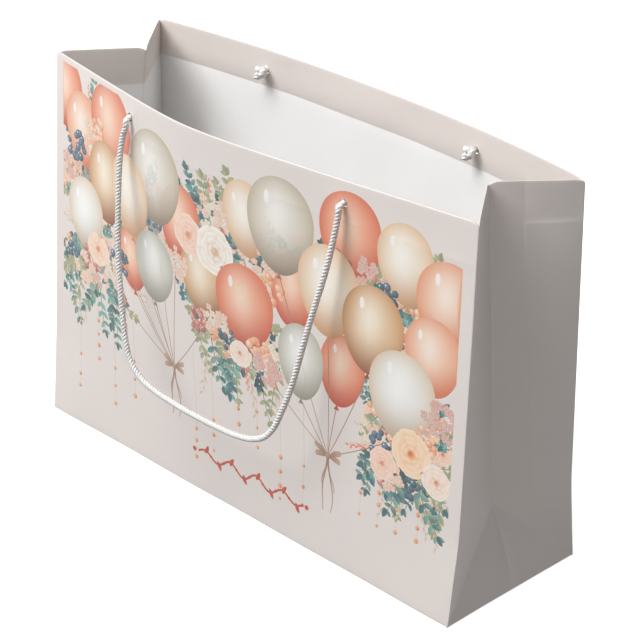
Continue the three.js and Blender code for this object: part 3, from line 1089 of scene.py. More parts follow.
        # Crease columns and rim rows are lightened: worn paper and a painted highlight.
        for start, end in spans.values():
            fold[:, [start, end]] = self.fold_wear_and_highlight
        walls_end = offset + len(levels)
        if hem:
            fold[walls_end : walls_end + self.rim_steps] = self.rim_wear_and_highlight
        patches: list[tuple[np.ndarray, np.ndarray, np.ndarray, tuple[float, float]]] = []
        for wall in PANELS:
            start, end = spans[wall]
            x = (self._stations(wall) * 2 - 1) * self.form.half_width
            printed = wall in self.art and not inner
            if printed:
                c0, c1 = self.span_of(x, -self.print_edge, self.print_edge)
                r0, r1 = self.span_of(levels, self.print_foot, self.print_top)
                skip[offset + r0 : offset + r1, start + c0 : start + c1] = True
            if not hem:
                continue
            for side in (-1, 1):
                hole = side * self.hole_flat_x()
                c0, c1 = self.span_of(x, hole - self.hole_frame, hole + self.hole_frame)
                r0, r1 = self.span_of(levels, self.hole_z - self.hole_frame, self.hole_z + self.hole_frame)
                from_top = walls_end + self.rim_steps + len(levels) - 1
                spots = [(from_top - r1, from_top - r0, True)] + ([] if printed else [(r0, r1, False)])
                for low, high, turned in spots:
                    box = grid[low : high + 1, start + c0 : start + c1 + 1]
                    skip[low:high, start + c0 : start + c1] = True
                    heights = levels[r0 : r1 + 1][::-1] if turned else levels[r0 : r1 + 1]
                    patches.append((box, x[c0 : c1 + 1], heights, (hole, self.hole_z)))
        gather.grid(grid, slot, ink, inside=inner, skip=skip, fold=fold)
        for box, x, heights, middle in patches:
            self.holed(gather, box, x, heights, middle, slot, ink, inner)

    @staticmethod
    def span_of(stations: np.ndarray, low: float, high: float) -> tuple[int, int]:
        """Find the numbers of the first and last station within two bounds."""
        inside = np.flatnonzero((stations >= low - 1e-6) & (stations <= high + 1e-6))
        return (int(inside[0]), int(inside[-1])) if len(inside) else (0, 0)

    def holed(self, gather: MeshGather, box: np.ndarray, x: np.ndarray, z: np.ndarray,
              hole: tuple[float, float], slot: int, ink: np.ndarray, inner: bool) -> None:
        """Mesh a small rectangle of a panel round a cord hole.

        Args:
            gather: where the faces go.
            box: the rectangle's grid points.
            x: its columns on the flat panel.
            z: its rows.
            hole: the hole's middle on the flat panel.
            slot: number of the material.
            ink: colour.
            inner: whether the faces look into the bag.
        """
        rows, columns = box.shape[:2]
        rim_numbers = ([(0, c) for c in range(columns)] + [(r, columns - 1) for r in range(1, rows)]
                       + [(rows - 1, c) for c in range(columns - 2, -1, -1)]
                       + [(r, 0) for r in range(rows - 2, 0, -1)])
        outline = [(x[c], z[r]) for r, c in rim_numbers]
        count = HOLE_SIDES
        edge_ring = [tuple(point) for point in ring(np.array(hole), self.hole_radius, count)]
        ring_points = [self._interpolate(box, x, z, point) for point in edge_ring]
        points = np.array([box[r, c] for r, c in rim_numbers] + ring_points)
        flat = [Vector(p) for p in outline + edge_ring]
        edge = len(outline)
        edges = [(i, (i + 1) % edge) for i in range(edge)]
        edges += [(edge + i, edge + (i + 1) % count) for i in range(count)]
        made, _, faces, origin, _, _ = delaunay_2d_cdt(flat, edges, [], 0, 1e-6)
        back = [o[0] for o in origin]
        kept = []
        for face in faces:
            middle = sum((made[i] for i in face), Vector((0, 0))) / len(face)
            if math.dist(middle, hole) >= self.hole_radius * 0.98:
                kept.append([back[i] for i in face])
        across = box[0, -1] - box[0, 0]
        up = box[-1, 0] - box[0, 0]
        wished = np.cross(across, up) * (-1 if inner else 1)
        turned = []
        for face in kept:
            a, b, c = (points[i] for i in face[:3])
            turned.append(face if np.dot(np.cross(b - a, c - a), wished) > 0 else face[::-1])
        gather.add(points, turned, slot, ink)

    @staticmethod
    def _interpolate(box: np.ndarray, x: np.ndarray, z: np.ndarray, point: tuple[float, float]) -> np.ndarray:
        """Find a point of a panel between the points of its grid."""
        heights, order = (z, 1) if z[0] < z[-1] else (z[::-1], -1)
        grid = box[::order]
        c = int(np.clip(np.searchsorted(x, point[0]) - 1, 0, len(x) - 2))
        r = int(np.clip(np.searchsorted(heights, point[1]) - 1, 0, len(heights) - 2))
        s = (point[0] - x[c]) / (x[c + 1] - x[c])
        t = (point[1] - heights[r]) / (heights[r + 1] - heights[r])
        low = grid[r, c] * (1 - s) + grid[r, c + 1] * s
        high = grid[r + 1, c] * (1 - s) + grid[r + 1, c + 1] * s
        return low * (1 - t) + high * t

    def _lay_print(self, gather: MeshGather, low: np.ndarray, high: np.ndarray, low_spans: dict,
                   high_spans: dict, low_z: np.ndarray, high_z: np.ndarray) -> None:
        """Mesh the printed rectangles of the front and back panels along the outlines of the print."""
        x = (self._stations(Wall.FRONT) * 2 - 1) * self.form.half_width
        levels = np.concatenate([low_z, high_z[1:]])
        c0, c1 = self.span_of(x, -self.print_edge, self.print_edge)
        r0, r1 = self.span_of(levels, self.print_foot, self.print_top)
        xs, zs = x[c0 : c1 + 1], levels[r0 : r1 + 1]
        holes = [(side * self.hole_flat_x(), self.hole_z) for side in (-1, 1)]
        for wall, art in self.art.items():
            inked = art.inked(xs, zs, holes, self.hole_radius)
            start_low, start_high = low_spans[wall][0], high_spans[wall][0]
            end = c1 + 1
            grid = np.concatenate([low[:, start_low + c0 : start_low + end],
                                   high[1:, start_high + c0 : start_high + end]])[r0 : r1 + 1]
            u = (inked.flat[:, 0] / self.form.half_width + 1) / 2
            z = inked.flat[:, 1]
            points = self.form.point(wall, u, z)
            points = points + self.form.outward(wall, u, z) * self.relief(wall, u, z)[:, None]
            known = inked.grid_number >= 0
            points[known] = grid.reshape(-1, 3)[inked.grid_number[known]]
            gather.add(points, inked.faces, 0, inked.colours)


# ---- Printed artwork ----------------------------------------------------------------------------

Paint = Callable[[np.ndarray], np.ndarray]


@dataclass
class Blot:
    """One printed shape: its outline, its paint, and inner points that let the paint shade softly."""

    outline: np.ndarray
    paint: Paint
    inner: np.ndarray = field(default_factory=lambda: np.zeros((0, 2)))
    opaque: bool = True


@dataclass(frozen=True)
class InkedPanel:
    """A panel's flat mesh with its ink."""

    flat: np.ndarray
    grid_number: np.ndarray
    faces: list[list[int]]
    colours: np.ndarray


@dataclass(frozen=True)
class BalloonInk:
    """The inks of one kind of balloon: middle glow, body, edge and shaded foot."""

    glow: str
    body: str
    edge: str
    foot: str
    clear: float = 0.0


class BalloonKind(Enum):
    """The balloons' kinds."""

    PEARL = BalloonInk("FDFCF9", "F0EEE8", "DCC7AE", "B9A690")
    CREAM = BalloonInk("FCF8EF", "F3E4D0", "E3BF9A", "C08D62")
    TAN = BalloonInk("F8EEDC", "E3C29B", "C6905E", "7E3F22")
    CORAL = BalloonInk("F9DCC5", "EDA283", "D66F50", "B4402B")
    PEACH = BalloonInk("FBEBDD", "F3C6A8", "E59C78", "CB6B4A")
    GREY = BalloonInk("F6F6F2", "D9D8CE", "B7B3A4", "8D8577")
    CLEAR = BalloonInk("FAF8F2", "DDD6C8", "BFB19B", "7F705F", 0.25)


def solid(colour: str, alpha: float = 1.0) -> Paint:
    """Paint one even ink."""
    ink = np.array([*linear(colour), alpha])
    return lambda points: np.tile(ink, (len(points), 1))


def fading(start: np.ndarray, end: np.ndarray, first: str, last: str, alpha: float = 1.0,
           split: float = 0.0) -> Paint:
    """Paint an ink that turns into another along a line.

    Args:
        start: where the first ink is full.
        end: where the last ink is full.
        first: first ink.
        last: last ink.
        alpha: how well it covers.
        split: how much lighter one side of the line is, as on a folded leaf.

    Returns:
        The paint.
    """
    a, b = np.array(linear(first)), np.array(linear(last))
    run = end - start
    across = np.array([-run[1], run[0]]) / (np.linalg.norm(run) + 1e-9)

    def paint(points: np.ndarray) -> np.ndarray:
        """Give the ink at each point."""
        share = np.clip((points - start) @ run / (run @ run + 1e-9), 0, 1)[:, None]
        side = np.clip((points - start) @ across / 1.2, -1, 1)[:, None]
        ink = (a * (1 - share) + b * share) * (1 + split * side)
        return np.concatenate([np.clip(ink, 0, 1), np.full((len(points), 1), alpha)], axis=1)

    return paint


def rounding(centre: np.ndarray, radius: float, middle: str, edge: str, alpha: float = 1.0,
             lift: float = 0.3) -> Paint:
    """Paint a round thing, brighter towards its upper left.

    Args:
        centre: its middle.
        radius: its radius.
        middle: ink at its bright spot.
        edge: ink at its edge.
        alpha: how well it covers.
        lift: how far off the middle its bright spot lies, in radii.

    Returns:
        The paint.
    """
    a, b = np.array(linear(middle)), np.array(linear(edge))
    spot = centre + np.array([-lift, lift]) * radius

    def paint(points: np.ndarray) -> np.ndarray:
        """Give the ink at each point."""
        share = np.clip(np.linalg.norm(points - spot, axis=1) / (radius * (1 + lift)), 0, 1)[:, None]
        ink = a * (1 - share) + b * share
        return np.concatenate([ink, np.full((len(points), 1), alpha)], axis=1)

    return paint


def ring(centre: np.ndarray, radius: float, count: int, squash: float = 1.0, turn: float = 0.0) -> np.ndarray:
    """Give points round an ellipse, anticlockwise."""
    angle = np.linspace(0, 2 * math.pi, count, endpoint=False) + turn
    return centre + np.stack([np.cos(angle) * radius, np.sin(angle) * radius * squash], axis=1)


TEAL = ("2F5A60", "5E9390", "7FAF9F", "86998A", "3F6A70")
SAGE = ("A9A37A", "9DA98A", "B9B797", "8C9A7C")
BERRY_INKS = {
    "navy": (("7F93A8", "22384A"), ("5B7F88", "16303C")),
    "peach": (("FBE3CB", "E9A97F"), ("F8D3B4", "DD8C63")),
    "rosy": (("E7B2A4", "B4665A"), ("D99688", "8C4A48")),
}
POSY_INKS = (
    (("D9A78F", "F6E9DC"), ("D8C2A8", "FBF5EA")),
    (("C98F86", "EBC9BE"), ("C9988C", "EBD3C8")),
    (("E0B295", "FBEBDD"), ("D9A78F", "F6E9DC")),
)


@dataclass
class PrintedArt:
    """A generic party print: balloons in soft metallic tones over flowers, leaves and strings."""

    edge: float = 193.0
    foot: float = 8.0
    top: float = 279.0
    tint: str = "E6DDD8"
    seed: int = 5
    fullness: float = 1.0
    least_shown: float = 0.15
    blots: list[Blot] = field(default_factory=list)
    dice: random.Random = field(default_factory=random.Random)

    def _clip(self, outline: np.ndarray) -> np.ndarray:
        """Cut an outline off at the print's borders."""
        for axis, sign, limit in ((0, 1, self.edge), (0, -1, self.edge),
                                  (1, 1, self.top), (1, -1, -self.foot)):
            if len(outline) == 0:
                return outline
            inside = sign * outline[:, axis] <= limit
            if inside.all():
                continue
            kept: list[np.ndarray] = []
            for i in range(len(outline)):
                here, there = outline[i - 1], outline[i]
                if inside[i] != inside[i - 1]:
                    share = (sign * limit - here[axis]) / (there[axis] - here[axis])
                    kept.append(here + (there - here) * share)
                if inside[i]:
                    kept.append(there)
            outline = np.array(kept).reshape(-1, 2)
        return outline

    def _add(self, outline: np.ndarray, paint: Paint, inner: Optional[np.ndarray] = None,
             opaque: bool = True) -> None:
        """Put one shape on top of what is printed so far."""
        cut = self._clip(outline)
        if len(cut) < 3:
            return
        points = np.zeros((0, 2)) if inner is None else inner
        if len(points):
            inside = ((np.abs(points[:, 0]) < self.edge) & (points[:, 1] < self.top)
                      & (points[:, 1] > self.foot))
            points = points[inside]
        self.blots.append(Blot(cut, paint, points, opaque))

    def _stroke(self, line: np.ndarray, width: float, ink: str, last: Optional[str] = None,
                alpha: float = 1.0, taper: float = 0.5) -> None:
        """Draw a line of some width that narrows towards its end."""
        run = np.gradient(line, axis=0)
        across = np.stack([-run[:, 1], run[:, 0]], axis=1)
        across /= np.linalg.norm(across, axis=1, keepdims=True) + 1e-9
        half = (np.linspace(1, taper, len(line)) * width / 2)[:, None]
        outline = np.concatenate([line - across * half, (line + across * half)[::-1]])
        self._add(outline, fading(line[0], line[-1], ink, last or ink, alpha), opaque=alpha == 1)

    def leaf(self, base: np.ndarray, angle: float, length: float, width: float, first: str, last: str,
             alpha: float = 1.0) -> None:
        """Print a leaf.

        Args:
            base: where it leaves its stem.
            angle: its direction, in radians.
            length: its length.
            width: its width.
            first: ink at its base.
            last: ink at its tip.
            alpha: how well it covers.
        """
        share = np.array([0, 0.22, 0.52, 0.82, 1.0])
        half = np.array([0.08, 0.8, 1.0, 0.58, 0.0]) * width / 2
        along = np.array([math.cos(angle), math.sin(angle)])
        across = np.array([-along[1], along[0]])
        bend = self.dice.uniform(-0.12, 0.12) * length
        spine = base + share[:, None] * length * along + (np.sin(math.pi * share) * bend)[:, None] * across
        right = spine - across * half[:, None]
        left = spine + across * half[:, None]
        outline = np.concatenate([right, left[-2::-1]])
        self._add(outline, fading(base, base + along * length, first, last, alpha, 0.2),
                  spine[2:4:2], alpha == 1)

    def sprig(self, base: np.ndarray, angle: float, length: float, size: float, inks: Sequence[str],
              stem: str = "5C6B5E", round_leaf: float = 0.62, alpha: float = 1.0) -> None:
        """Print a stem with pairs of leaves.

        Args:
            base: foot of the stem.
            angle: its direction.
            length: its length.
            size: length of its leaves.
            inks: inks for the leaves.
            stem: ink of the stem.
            round_leaf: a leaf's width by its length.
            alpha: how well the leaves cover.
        """
        bend = self.dice.uniform(-0.5, 0.5)
        share = np.linspace(0, 1, 6)
        angles = angle + bend * share
        steps = np.stack([np.cos(angles), np.sin(angles)], axis=1) * length / 5
        line = base + np.concatenate([[[0, 0]], np.cumsum(steps[:-1], axis=0)])
        self._stroke(line, 0.9, stem, alpha=alpha)
        for i in range(1, 6):
            for side in (-1, 1):
                turn = angles[i] + side * self.dice.uniform(0.6, 1.15)
                leaf = size * self.dice.uniform(0.75, 1.1) * (1.1 - 0.4 * share[i])
                first, last = self.dice.choice(inks), self.dice.choice(inks)
                self.leaf(line[i], turn, leaf, leaf * round_leaf, first, last, alpha)
        self.leaf(line[-1], angles[-1], size * 0.8, size * 0.8 * round_leaf, inks[0], inks[-1], alpha)

    def berry(self, centre: np.ndarray, radius: float, middle: str, edge: str) -> None:
        """Print a berry, bud or bead with a bright spot."""
        outline = ring(centre, radius, 8, turn=self.dice.uniform(0, 1))
        spot = centre + np.array([-0.3, 0.3]) * radius
        self._add(outline, rounding(centre, radius, middle, edge), np.array([spot]))
        if radius > 2.9:
            self._add(ring(spot, radius * 0.2, 5), solid("FFFFFF", 0.85))

    def berries(self, centre: np.ndarray, spread: float, count: int, radius: float,
                inks: Sequence[tuple[str, str]]) -> None:
        """Print a cluster of berries."""
        for _ in range(count):
            angle, far = self.dice.uniform(0, 2 * math.pi), spread * math.sqrt(self.dice.random())
            place = centre + far * np.array([math.cos(angle), math.sin(angle)])
            middle, edge = self.dice.choice(inks)
            self.berry(place, radius * self.dice.uniform(0.75, 1.15), middle, edge)

    def petal(self, centre: np.ndarray, angle: float, near: float, far: float, width: float,
              first: str, last: str) -> None:
        """Print one rounded petal between two distances from a flower's middle."""
        along = np.array([math.cos(angle), math.sin(angle)])
        across = np.array([-along[1], along[0]])
        share = np.array([0.0, 0.35, 0.75, 0.95, 1.0])
        half = np.array([0.25, 0.75, 1.0, 0.7, 0.25]) * width / 2
        spine = centre + (near + (far - near) * share)[:, None] * along
        outline = np.concatenate([spine - across * half[:, None], (spine + across * half[:, None])[::-1]])
        self._add(outline, fading(centre + near * along, centre + far * along, first, last))

    def bloom(self, centre: np.ndarray, radius: float, deep: str, pale: str, heart: str) -> None:
        """Print an open rose-like flower of three rings of petals.

        Args:
            centre: its middle.
            radius: its radius.
            deep: ink at the foot of its petals.
            pale: ink at their edges.
            heart: ink of its heart.
        """
        for share, count in ((1.0, 8), (0.76, 7), (0.54, 6), (0.34, 5)):
            turn = self.dice.uniform(0, 2)
            for i in range(count):
                angle = turn + 2 * math.pi * i / count + self.dice.uniform(-0.12, 0.12)
                far = radius * share * self.dice.uniform(0.92, 1.08)
                self.petal(centre, angle, radius * share * 0.25, far, radius * share * 0.95, deep, pale)
        self.berry(centre, radius * 0.17, heart, deep)

    def posy(self, centre: np.ndarray, radius: float, count: int, inks: Sequence[tuple[str, str]]) -> None:
        """Print a round head of many four-petalled florets."""
        for _ in range(count):
            angle, far = self.dice.uniform(0, 2 * math.pi), radius * math.sqrt(self.dice.random())
            place = centre + far * np.array([math.cos(angle), math.sin(angle)])
            size = self.dice.uniform(2.6, 3.8)
            deep, pale = self.dice.choice(inks)
            turn = self.dice.uniform(0, 1.5)
            for i in range(4):
                lobe = place + size * 0.5 * np.array([math.cos(turn + i * 1.571), math.sin(turn + i * 1.571)])
                self._add(ring(lobe, size * 0.54, 5, turn=turn + i),
                          rounding(lobe, size * 0.54, pale, deep, lift=0.1), lobe[None])

    def feather(self, base: np.ndarray, angle: float, length: float, ink: str, tip: str) -> None:
        """Print a spray of dry grass or small coral buds on fine stalks."""
        along = np.array([math.cos(angle), math.sin(angle)])
        self._stroke(np.array([base, base + along * length * 0.5, base + along * length]), 0.7, ink)
        for i in range(7):
            share = 0.25 + 0.75 * i / 6
            side = 1 if i % 2 else -1
            turn = angle + side * self.dice.uniform(0.3, 0.65)
            start = base + along * length * share
            self.leaf(start, turn, length * 0.2 * (1.3 - 0.6 * share), 1.7, ink, tip)

    def balloon(self, centre: np.ndarray, width: float, height: float, kind: BalloonKind, tilt: float,
                tie: Optional[np.ndarray]) -> None:
        """Print a balloon with its knot and string.

        Args:
            centre: its middle.
            width: its half width.
            height: its half height.
            kind: its inks.
            tilt: its lean, in radians.
            tie: where its string is tied, if it has one.
        """
        inks = kind.value
        glow, body, edge, foot = (np.array(linear(c)) for c in (inks.glow, inks.body, inks.edge, inks.foot))
        lean = np.array([[math.cos(tilt), -math.sin(tilt)], [math.sin(tilt), math.cos(tilt)]])

        def shape(share: float, count: int) -> np.ndarray:
            """Give the outline at one size."""
            angle = np.linspace(0, 2 * math.pi, count, endpoint=False)
            x = np.cos(angle) * width * share * (1 + 0.13 * np.sin(angle))
            z = np.sin(angle) * height * share
            return centre + np.stack([x, z], axis=1) @ lean.T

        def paint(points: np.ndarray) -> np.ndarray:
            """Give the ink at each point."""
            local = (points - centre) @ lean
            z = local[:, 1] / height
            x = local[:, 0] / (width * (1 + 0.13 * np.clip(z, -1, 1)))
            out = np.clip(np.hypot(x, z), 0, 1)[:, None]
            ink = body * (1 - out**3) + edge * out**3
            low = np.clip(-z * 0.98 + x * 0.15 - 0.04, 0, 1)[:, None] ** 1.25
            ink = ink * (1 - low) + foot * low
            bright = np.exp(-(((x + 0.12) / 0.4) ** 2) - (((z - 0.22) / 0.52) ** 2))[:, None]
            ink = ink * (1 - bright) + glow * bright
            alpha = 1 - inks.clear * (1 - out[:, 0])
            return np.concatenate([ink, alpha[:, None]], axis=1)

        neck = centre + lean @ np.array([0, -height])
        if tie is not None:
            middle = (neck + tie) / 2 + np.array([self.dice.uniform(-3, 3), -4])
            share = np.linspace(0, 1, 6)[:, None]
            line = neck * (1 - share) ** 2 + 2 * middle * share * (1 - share) + tie * share**2
            self._stroke(line, 0.75, "A87C62", "B08D78", taper=0.9)
        down = lean @ np.array([0, -1.0])
        self._add(np.array([neck - down, neck + down * 3.4 + [-2.4, 0], neck + down * 3.4 + [2.4, 0]]),
                  solid(inks.foot))
        inner = np.concatenate([shape(s, n) for s, n in ((0.2, 6), (0.42, 10), (0.62, 14), (0.8, 20),
                                                         (0.92, 28))])
        self._add(shape(1.0, 44), paint, inner, inks.clear == 0)
        spot = centre + lean @ np.array([-0.42 * width, 0.52 * height])
        self._add(ring(spot, width * 0.08, 8, squash=2.2), solid("FFFFFF", 0.7), opaque=False)

    def bow(self, centre: np.ndarray, size: float) -> None:
        """Print a tied ribbon bow with long curling tails."""
        deep, pale = "8E6C57", "C2A28C"
        for side in (-1, 1):
            for lean, far in ((0.45, 1.0), (-0.15, 0.85)):
                tip = centre + size * far * np.array([side * math.cos(lean), math.sin(lean)])
                outline = np.array([centre, centre + (tip - centre) * 0.5 + [0, size * 0.26],
                                    tip + [0, size * 0.2], tip + [side * size * 0.08, 0],
                                    tip - [0, size * 0.14], centre + (tip - centre) * 0.45 - [0, size * 0.12]])
                self._add(outline if side < 0 else outline[::-1], fading(centre, tip, deep, pale))
            for drop in (2.1, 3.4):
                share = np.linspace(0, 1, 9)
                sway = np.sin(share * 5.5 + side + drop) * size * 0.22
                line = np.stack([centre[0] + side * size * 0.22 * (1 + drop * 0.3) * share + sway * share,
                                 centre[1] - size * drop * share], axis=1)
                self._stroke(line, size * 0.13, deep, pale)
        self.berry(centre, size * 0.2, pale, deep)

    def drops(self, x: float, high: float, low: float) -> None:
        """Print a fine hanging thread with beads."""
        self._stroke(np.array([[x, high], [x + 0.4, (high + low) / 2], [x, low]]), 0.45, "CDB9A6", alpha=0.8)
        z = low
        while z < min(high - 8, low + 34):
            self.berry(np.array([x, z]), self.dice.uniform(1.3, 2.1), "F6C79B", "D07F4C")
            z += self.dice.uniform(9, 17)

    def trailing(self, centre: np.ndarray, spread: float, count: int, reach: float) -> None:
        """Print leaves and grasses that hang below a flower group."""
        for i in range(count):
            x = centre[0] + spread * (2 * (i + 0.5) / count - 1)
            base = np.array([x, centre[1] + self.dice.uniform(-6, 6)])
            angle = -math.pi / 2 + self.dice.uniform(-0.4, 0.4)
            if i % 2:
                self.feather(base, angle, reach * self.dice.uniform(0.7, 1.0), "CDB79C", "E3D2B8")
            else:
                self.sprig(base, angle, reach * self.dice.uniform(0.6, 0.95), 8.5,
                           self.dice.choice((TEAL, SAGE)), round_leaf=0.5)

    def group(self, centre: np.ndarray, wide: float, high: float, fullness: float) -> None:
        """Print a thick group of foliage, berries, buds and florets behind the balloons.

        Args:
            centre: its middle.
            wide: its half width.
            high: its half height.
            fullness: how many plants it holds, 1 for a full one.
        """
        dice = self.dice
        fullness *= self.fullness
        for _ in range(int(13 * fullness)):
            angle = dice.uniform(0, 2 * math.pi)
            base = centre + np.array([math.cos(angle) * wide, math.sin(angle) * high]) * dice.uniform(0.3, 0.85)
            self.sprig(base, angle + dice.uniform(-0.4, 0.4), dice.uniform(18, 32), dice.uniform(7, 10),
                       dice.choice((TEAL, SAGE, SAGE)))
        self._add(ring(centre, wide * 0.45, 14, squash=high / wide), solid("2B3A3A", 0.6), opaque=False)
        for _ in range(int(10 * fullness)):
            angle, far = dice.uniform(0, 2 * math.pi), math.sqrt(dice.random()) * 0.6
            base = centre + np.array([math.cos(angle) * wide, math.sin(angle) * high]) * far
            self.sprig(base, angle + dice.uniform(-1, 1), dice.uniform(16, 24), dice.uniform(8, 11),
                       ("1F3A40", "2F5A60", "47737A"), "1F2A2C")
        for _ in range(int(10 * fullness)):
            angle = dice.uniform(0, 2 * math.pi)
            base = centre + np.array([math.cos(angle) * wide, math.sin(angle) * high]) * 0.8
            self.feather(base, angle, dice.uniform(16, 28),
                         *dice.choice((("E07A62", "EE9C84"), ("CDB79C", "E6D6BE"))))
        kinds = ("posy", "peach", "posy", "navy", "rosy", "posy", "peach", "rose")
        for i in range(int(26 * fullness)):
            angle, far = dice.uniform(0, 2 * math.pi), math.sqrt(dice.random())
            place = centre + np.array([math.cos(angle) * wide, math.sin(angle) * high]) * far * 0.95
            kind = kinds[i % len(kinds)]
            if kind == "rose":
                self.bloom(place, dice.uniform(8, 11), "DD9C82", dice.choice(("F9DDCB", "FBF1E4")), "C97A4E")
            elif kind == "posy":
                self.posy(place, 11, 15, dice.choice(POSY_INKS))
            else:
                self.berries(place, 8, 10, 2.9, BERRY_INKS[kind])
            if i % 2:
                base = place + np.array([dice.uniform(-6, 6), dice.uniform(-6, 6)])
                self.sprig(base, dice.uniform(0, 2 * math.pi), dice.uniform(14, 20), dice.uniform(6, 9),
                           dice.choice((TEAL, SAGE)))

    def ornament(self, centre: np.ndarray, length: float, height: float, ink: str) -> None:
        """Print a plain running ornament of scrolls and drops under the picture."""
        share = np.linspace(-1, 1, 41)
        wave = np.stack([centre[0] + share * length / 2,
                         centre[1] + np.sin(share * 4 * math.pi) * height * 0.3 * (1 - share**2 * 0.4)], axis=1)
        self._stroke(wave, 1.7, ink, taper=1.0)
        for i in range(8):
            x = centre[0] + length * ((i + 0.5) / 8 - 0.5)
            side = 1 if i % 2 else -1
            base = np.array([x, centre[1] + side * -height * 0.05])
            self.leaf(base, side * -math.pi / 2 + 0.5 * side, height * 0.62, height * 0.28, ink, ink)
            self._add(ring(np.array([x + length / 16, centre[1]]), 1.25, 10), solid(ink))
        for side in (-1, 1):
            self._add(ring(centre + np.array([side * (length / 2 + 4), 0]), 1.9, 12), solid(ink))

    def draw(self) -> None:
        """Print the whole picture, from the back to the front."""
        self.dice = random.Random(self.seed)
        left, right = np.array([-62.0, 90.0]), np.array([88.0, 80.0])
        for centre, wide, reach, count in (((-152, 122), 40, 46, 8), ((6, 126), 44, 42, 9),
                                           ((158, 92), 34, 40, 7)):
            self.trailing(np.array(centre, float), wide, count, reach)
        for x in (-172, -150, -131, -108, -40, -22, 4, 22, 44, 118, 134, 150, 168, 183, 66):
            self.drops(x, 112, self.dice.uniform(26, 62))
        for x, z, wide, high, fullness in ((-152, 208, 42, 56, 1.1), (-146, 146, 40, 34, 0.8),
                                           (-8, 196, 56, 44, 1.1), (8, 146, 44, 28, 0.7),
                                           (150, 206, 46, 44, 1.0), (158, 112, 36, 40, 1.0),
                                           (-82, 200, 34, 30, 0.4), (72, 200, 34, 34, 0.4)):
            self.group(np.array([x, z], float), wide, high, fullness)
        kinds = BalloonKind
        back = (
            (-188, 258, 22, 28, kinds.CORAL, 0.1, None), (-166, 236, 22, 28, kinds.PEACH, 0.15, None),
            (-128, 250, 26, 32, kinds.CORAL, 0.05, None), (-106, 158, 17, 24, kinds.CORAL, 0.1, left),
            (-48, 208, 20, 29, kinds.CORAL, -0.2, left), (18, 232, 20, 28, kinds.CREAM, 0.1, None),
            (106, 246, 25, 31, kinds.CORAL, 0.0, None), (150, 240, 22, 28, kinds.CREAM, 0.1, None),
            (184, 222, 25, 30, kinds.PEACH, -0.1, None), (100, 148, 19, 27, kinds.CORAL, -0.15, right),
            (-26, 172, 21, 29, kinds.TAN, 0.1, left), (58, 192, 20, 28, kinds.CORAL, -0.1, right),
            (174, 184, 22, 27, kinds.PEACH, 0.1, None),
        )
        front = (
            (-136, 206, 22, 31, kinds.TAN, 0.05, left), (-74, 232, 28, 35, kinds.CLEAR, 0.0, left),
            (-106, 207, 22, 31, kinds.CREAM, 0.06, left), (-163, 172, 22, 28, kinds.PEARL, 0.1, left),
            (-80, 162, 22, 27, kinds.GREY, 0.0, left), (48, 236, 28, 35, kinds.CLEAR, -0.05, right),
            (14, 166, 26, 31, kinds.CORAL, 0.08, right), (88, 202, 25, 33, kinds.CREAM, 0.0, right),
            (125, 186, 25, 32, kinds.TAN, -0.1, right), (64, 142, 20, 28, kinds.GREY, 0.0, right),
            (150, 148, 27, 32, kinds.PEARL, -0.1, right),
        )
        for x, z, width, height, kind, tilt, tie in back:
            self.balloon(np.array([x, z], float), width, height, kind, tilt, tie)
        self._front_flowers()
        for x, z, width, height, kind, tilt, tie in front:
            self.balloon(np.array([x, z], float), width, height, kind, tilt, tie)
        self._last_flowers()
        self.bow(left, 11.5)
        self.bow(right, 12.5)
        self.ornament(np.array([14.0, 32.0]), 104, 13, "B8452E")

    def _front_flowers(self) -> None:
        """Print the flowers between the two rows of balloons."""
        for x, z, radius, count, inks in ((-152, 232, 14, 22, 0), (122, 222, 13, 18, 1), (-14, 226, 15, 24, 0),
                                          (-178, 206, 12, 16, 1), (-52, 176, 11, 14, 2), (36, 206, 12, 16, 2)):
            self.posy(np.array([x, z], float), radius, int(count * self.fullness) + 4, POSY_INKS[inks])
        for x, z, kind in ((-146, 240, "peach"), (136, 212, "navy"), (-176, 222, "navy"), (38, 186, "peach"),
                           (100, 224, "rosy")):
            self.berries(np.array([x, z], float), 11, int(20 * self.fullness) + 3, 3.0, BERRY_INKS[kind])
        self.bloom(np.array([-38.0, 202.0]), 15, "E8A58A", "FAE0CF", "D98F63")
        self.bloom(np.array([-12.0, 198.0]), 18, "D6B79A", "FDF8F0", "E2B27C")

    def _last_flowers(self) -> None:
        """Print the flowers in front of all the balloons."""
        for x, z, turn in ((-140, 138, -1.2), (-126, 134, -1.9), (-20, 130, -1.4), (4, 128, -1.8),
                           (140, 104, -2.2), (166, 92, -1.2), (150, 88, -1.7), (178, 106, -0.6),
                           (-150, 122, -2.0)):
            self.sprig(np.array([x, z], float), turn, self.dice.uniform(28, 40), 9.5, TEAL, round_leaf=0.55)
        for x, z, kind in ((-122, 150, "navy"), (-2, 134, "navy"), (134, 106, "navy"), (-160, 138, "rosy"),
                           (26, 136, "peach"), (172, 124, "peach"), (-34, 140, "rosy")):
            self.berries(np.array([x, z], float), 10, int(16 * self.fullness) + 3, 2.9, BERRY_INKS[kind])
        for x, z, radius, count, inks in ((-132, 138, 13, 20, 0), (182, 140, 15, 24, 1), (34, 126, 12, 16, 1),
                                          (-166, 128, 12, 16, 2), (-16, 146, 12, 16, 0), (142, 88, 11, 14, 2)):
            self.posy(np.array([x, z], float), radius, int(count * self.fullness) + 4, POSY_INKS[inks])
        self.bloom(np.array([-148.0, 150.0]), 13.5, "E3A987", "FBE6D2", "C97A4E")
        self.bloom(np.array([160.0, 110.0]), 17, "EDA66F", "FBE4C8", "C4693B")
        self.bloom(np.array([136.0, 94.0]), 11, "E8A58A", "FAE0CF", "D98F63")
        self.bloom(np.array([182.0, 98.0]), 12, "E6B79C", "FBEFE3", "C97A4E")
        self.bloom(np.array([8.0, 128.0]), 10, "E6B79C", "FBEFE3", "C97A4E")

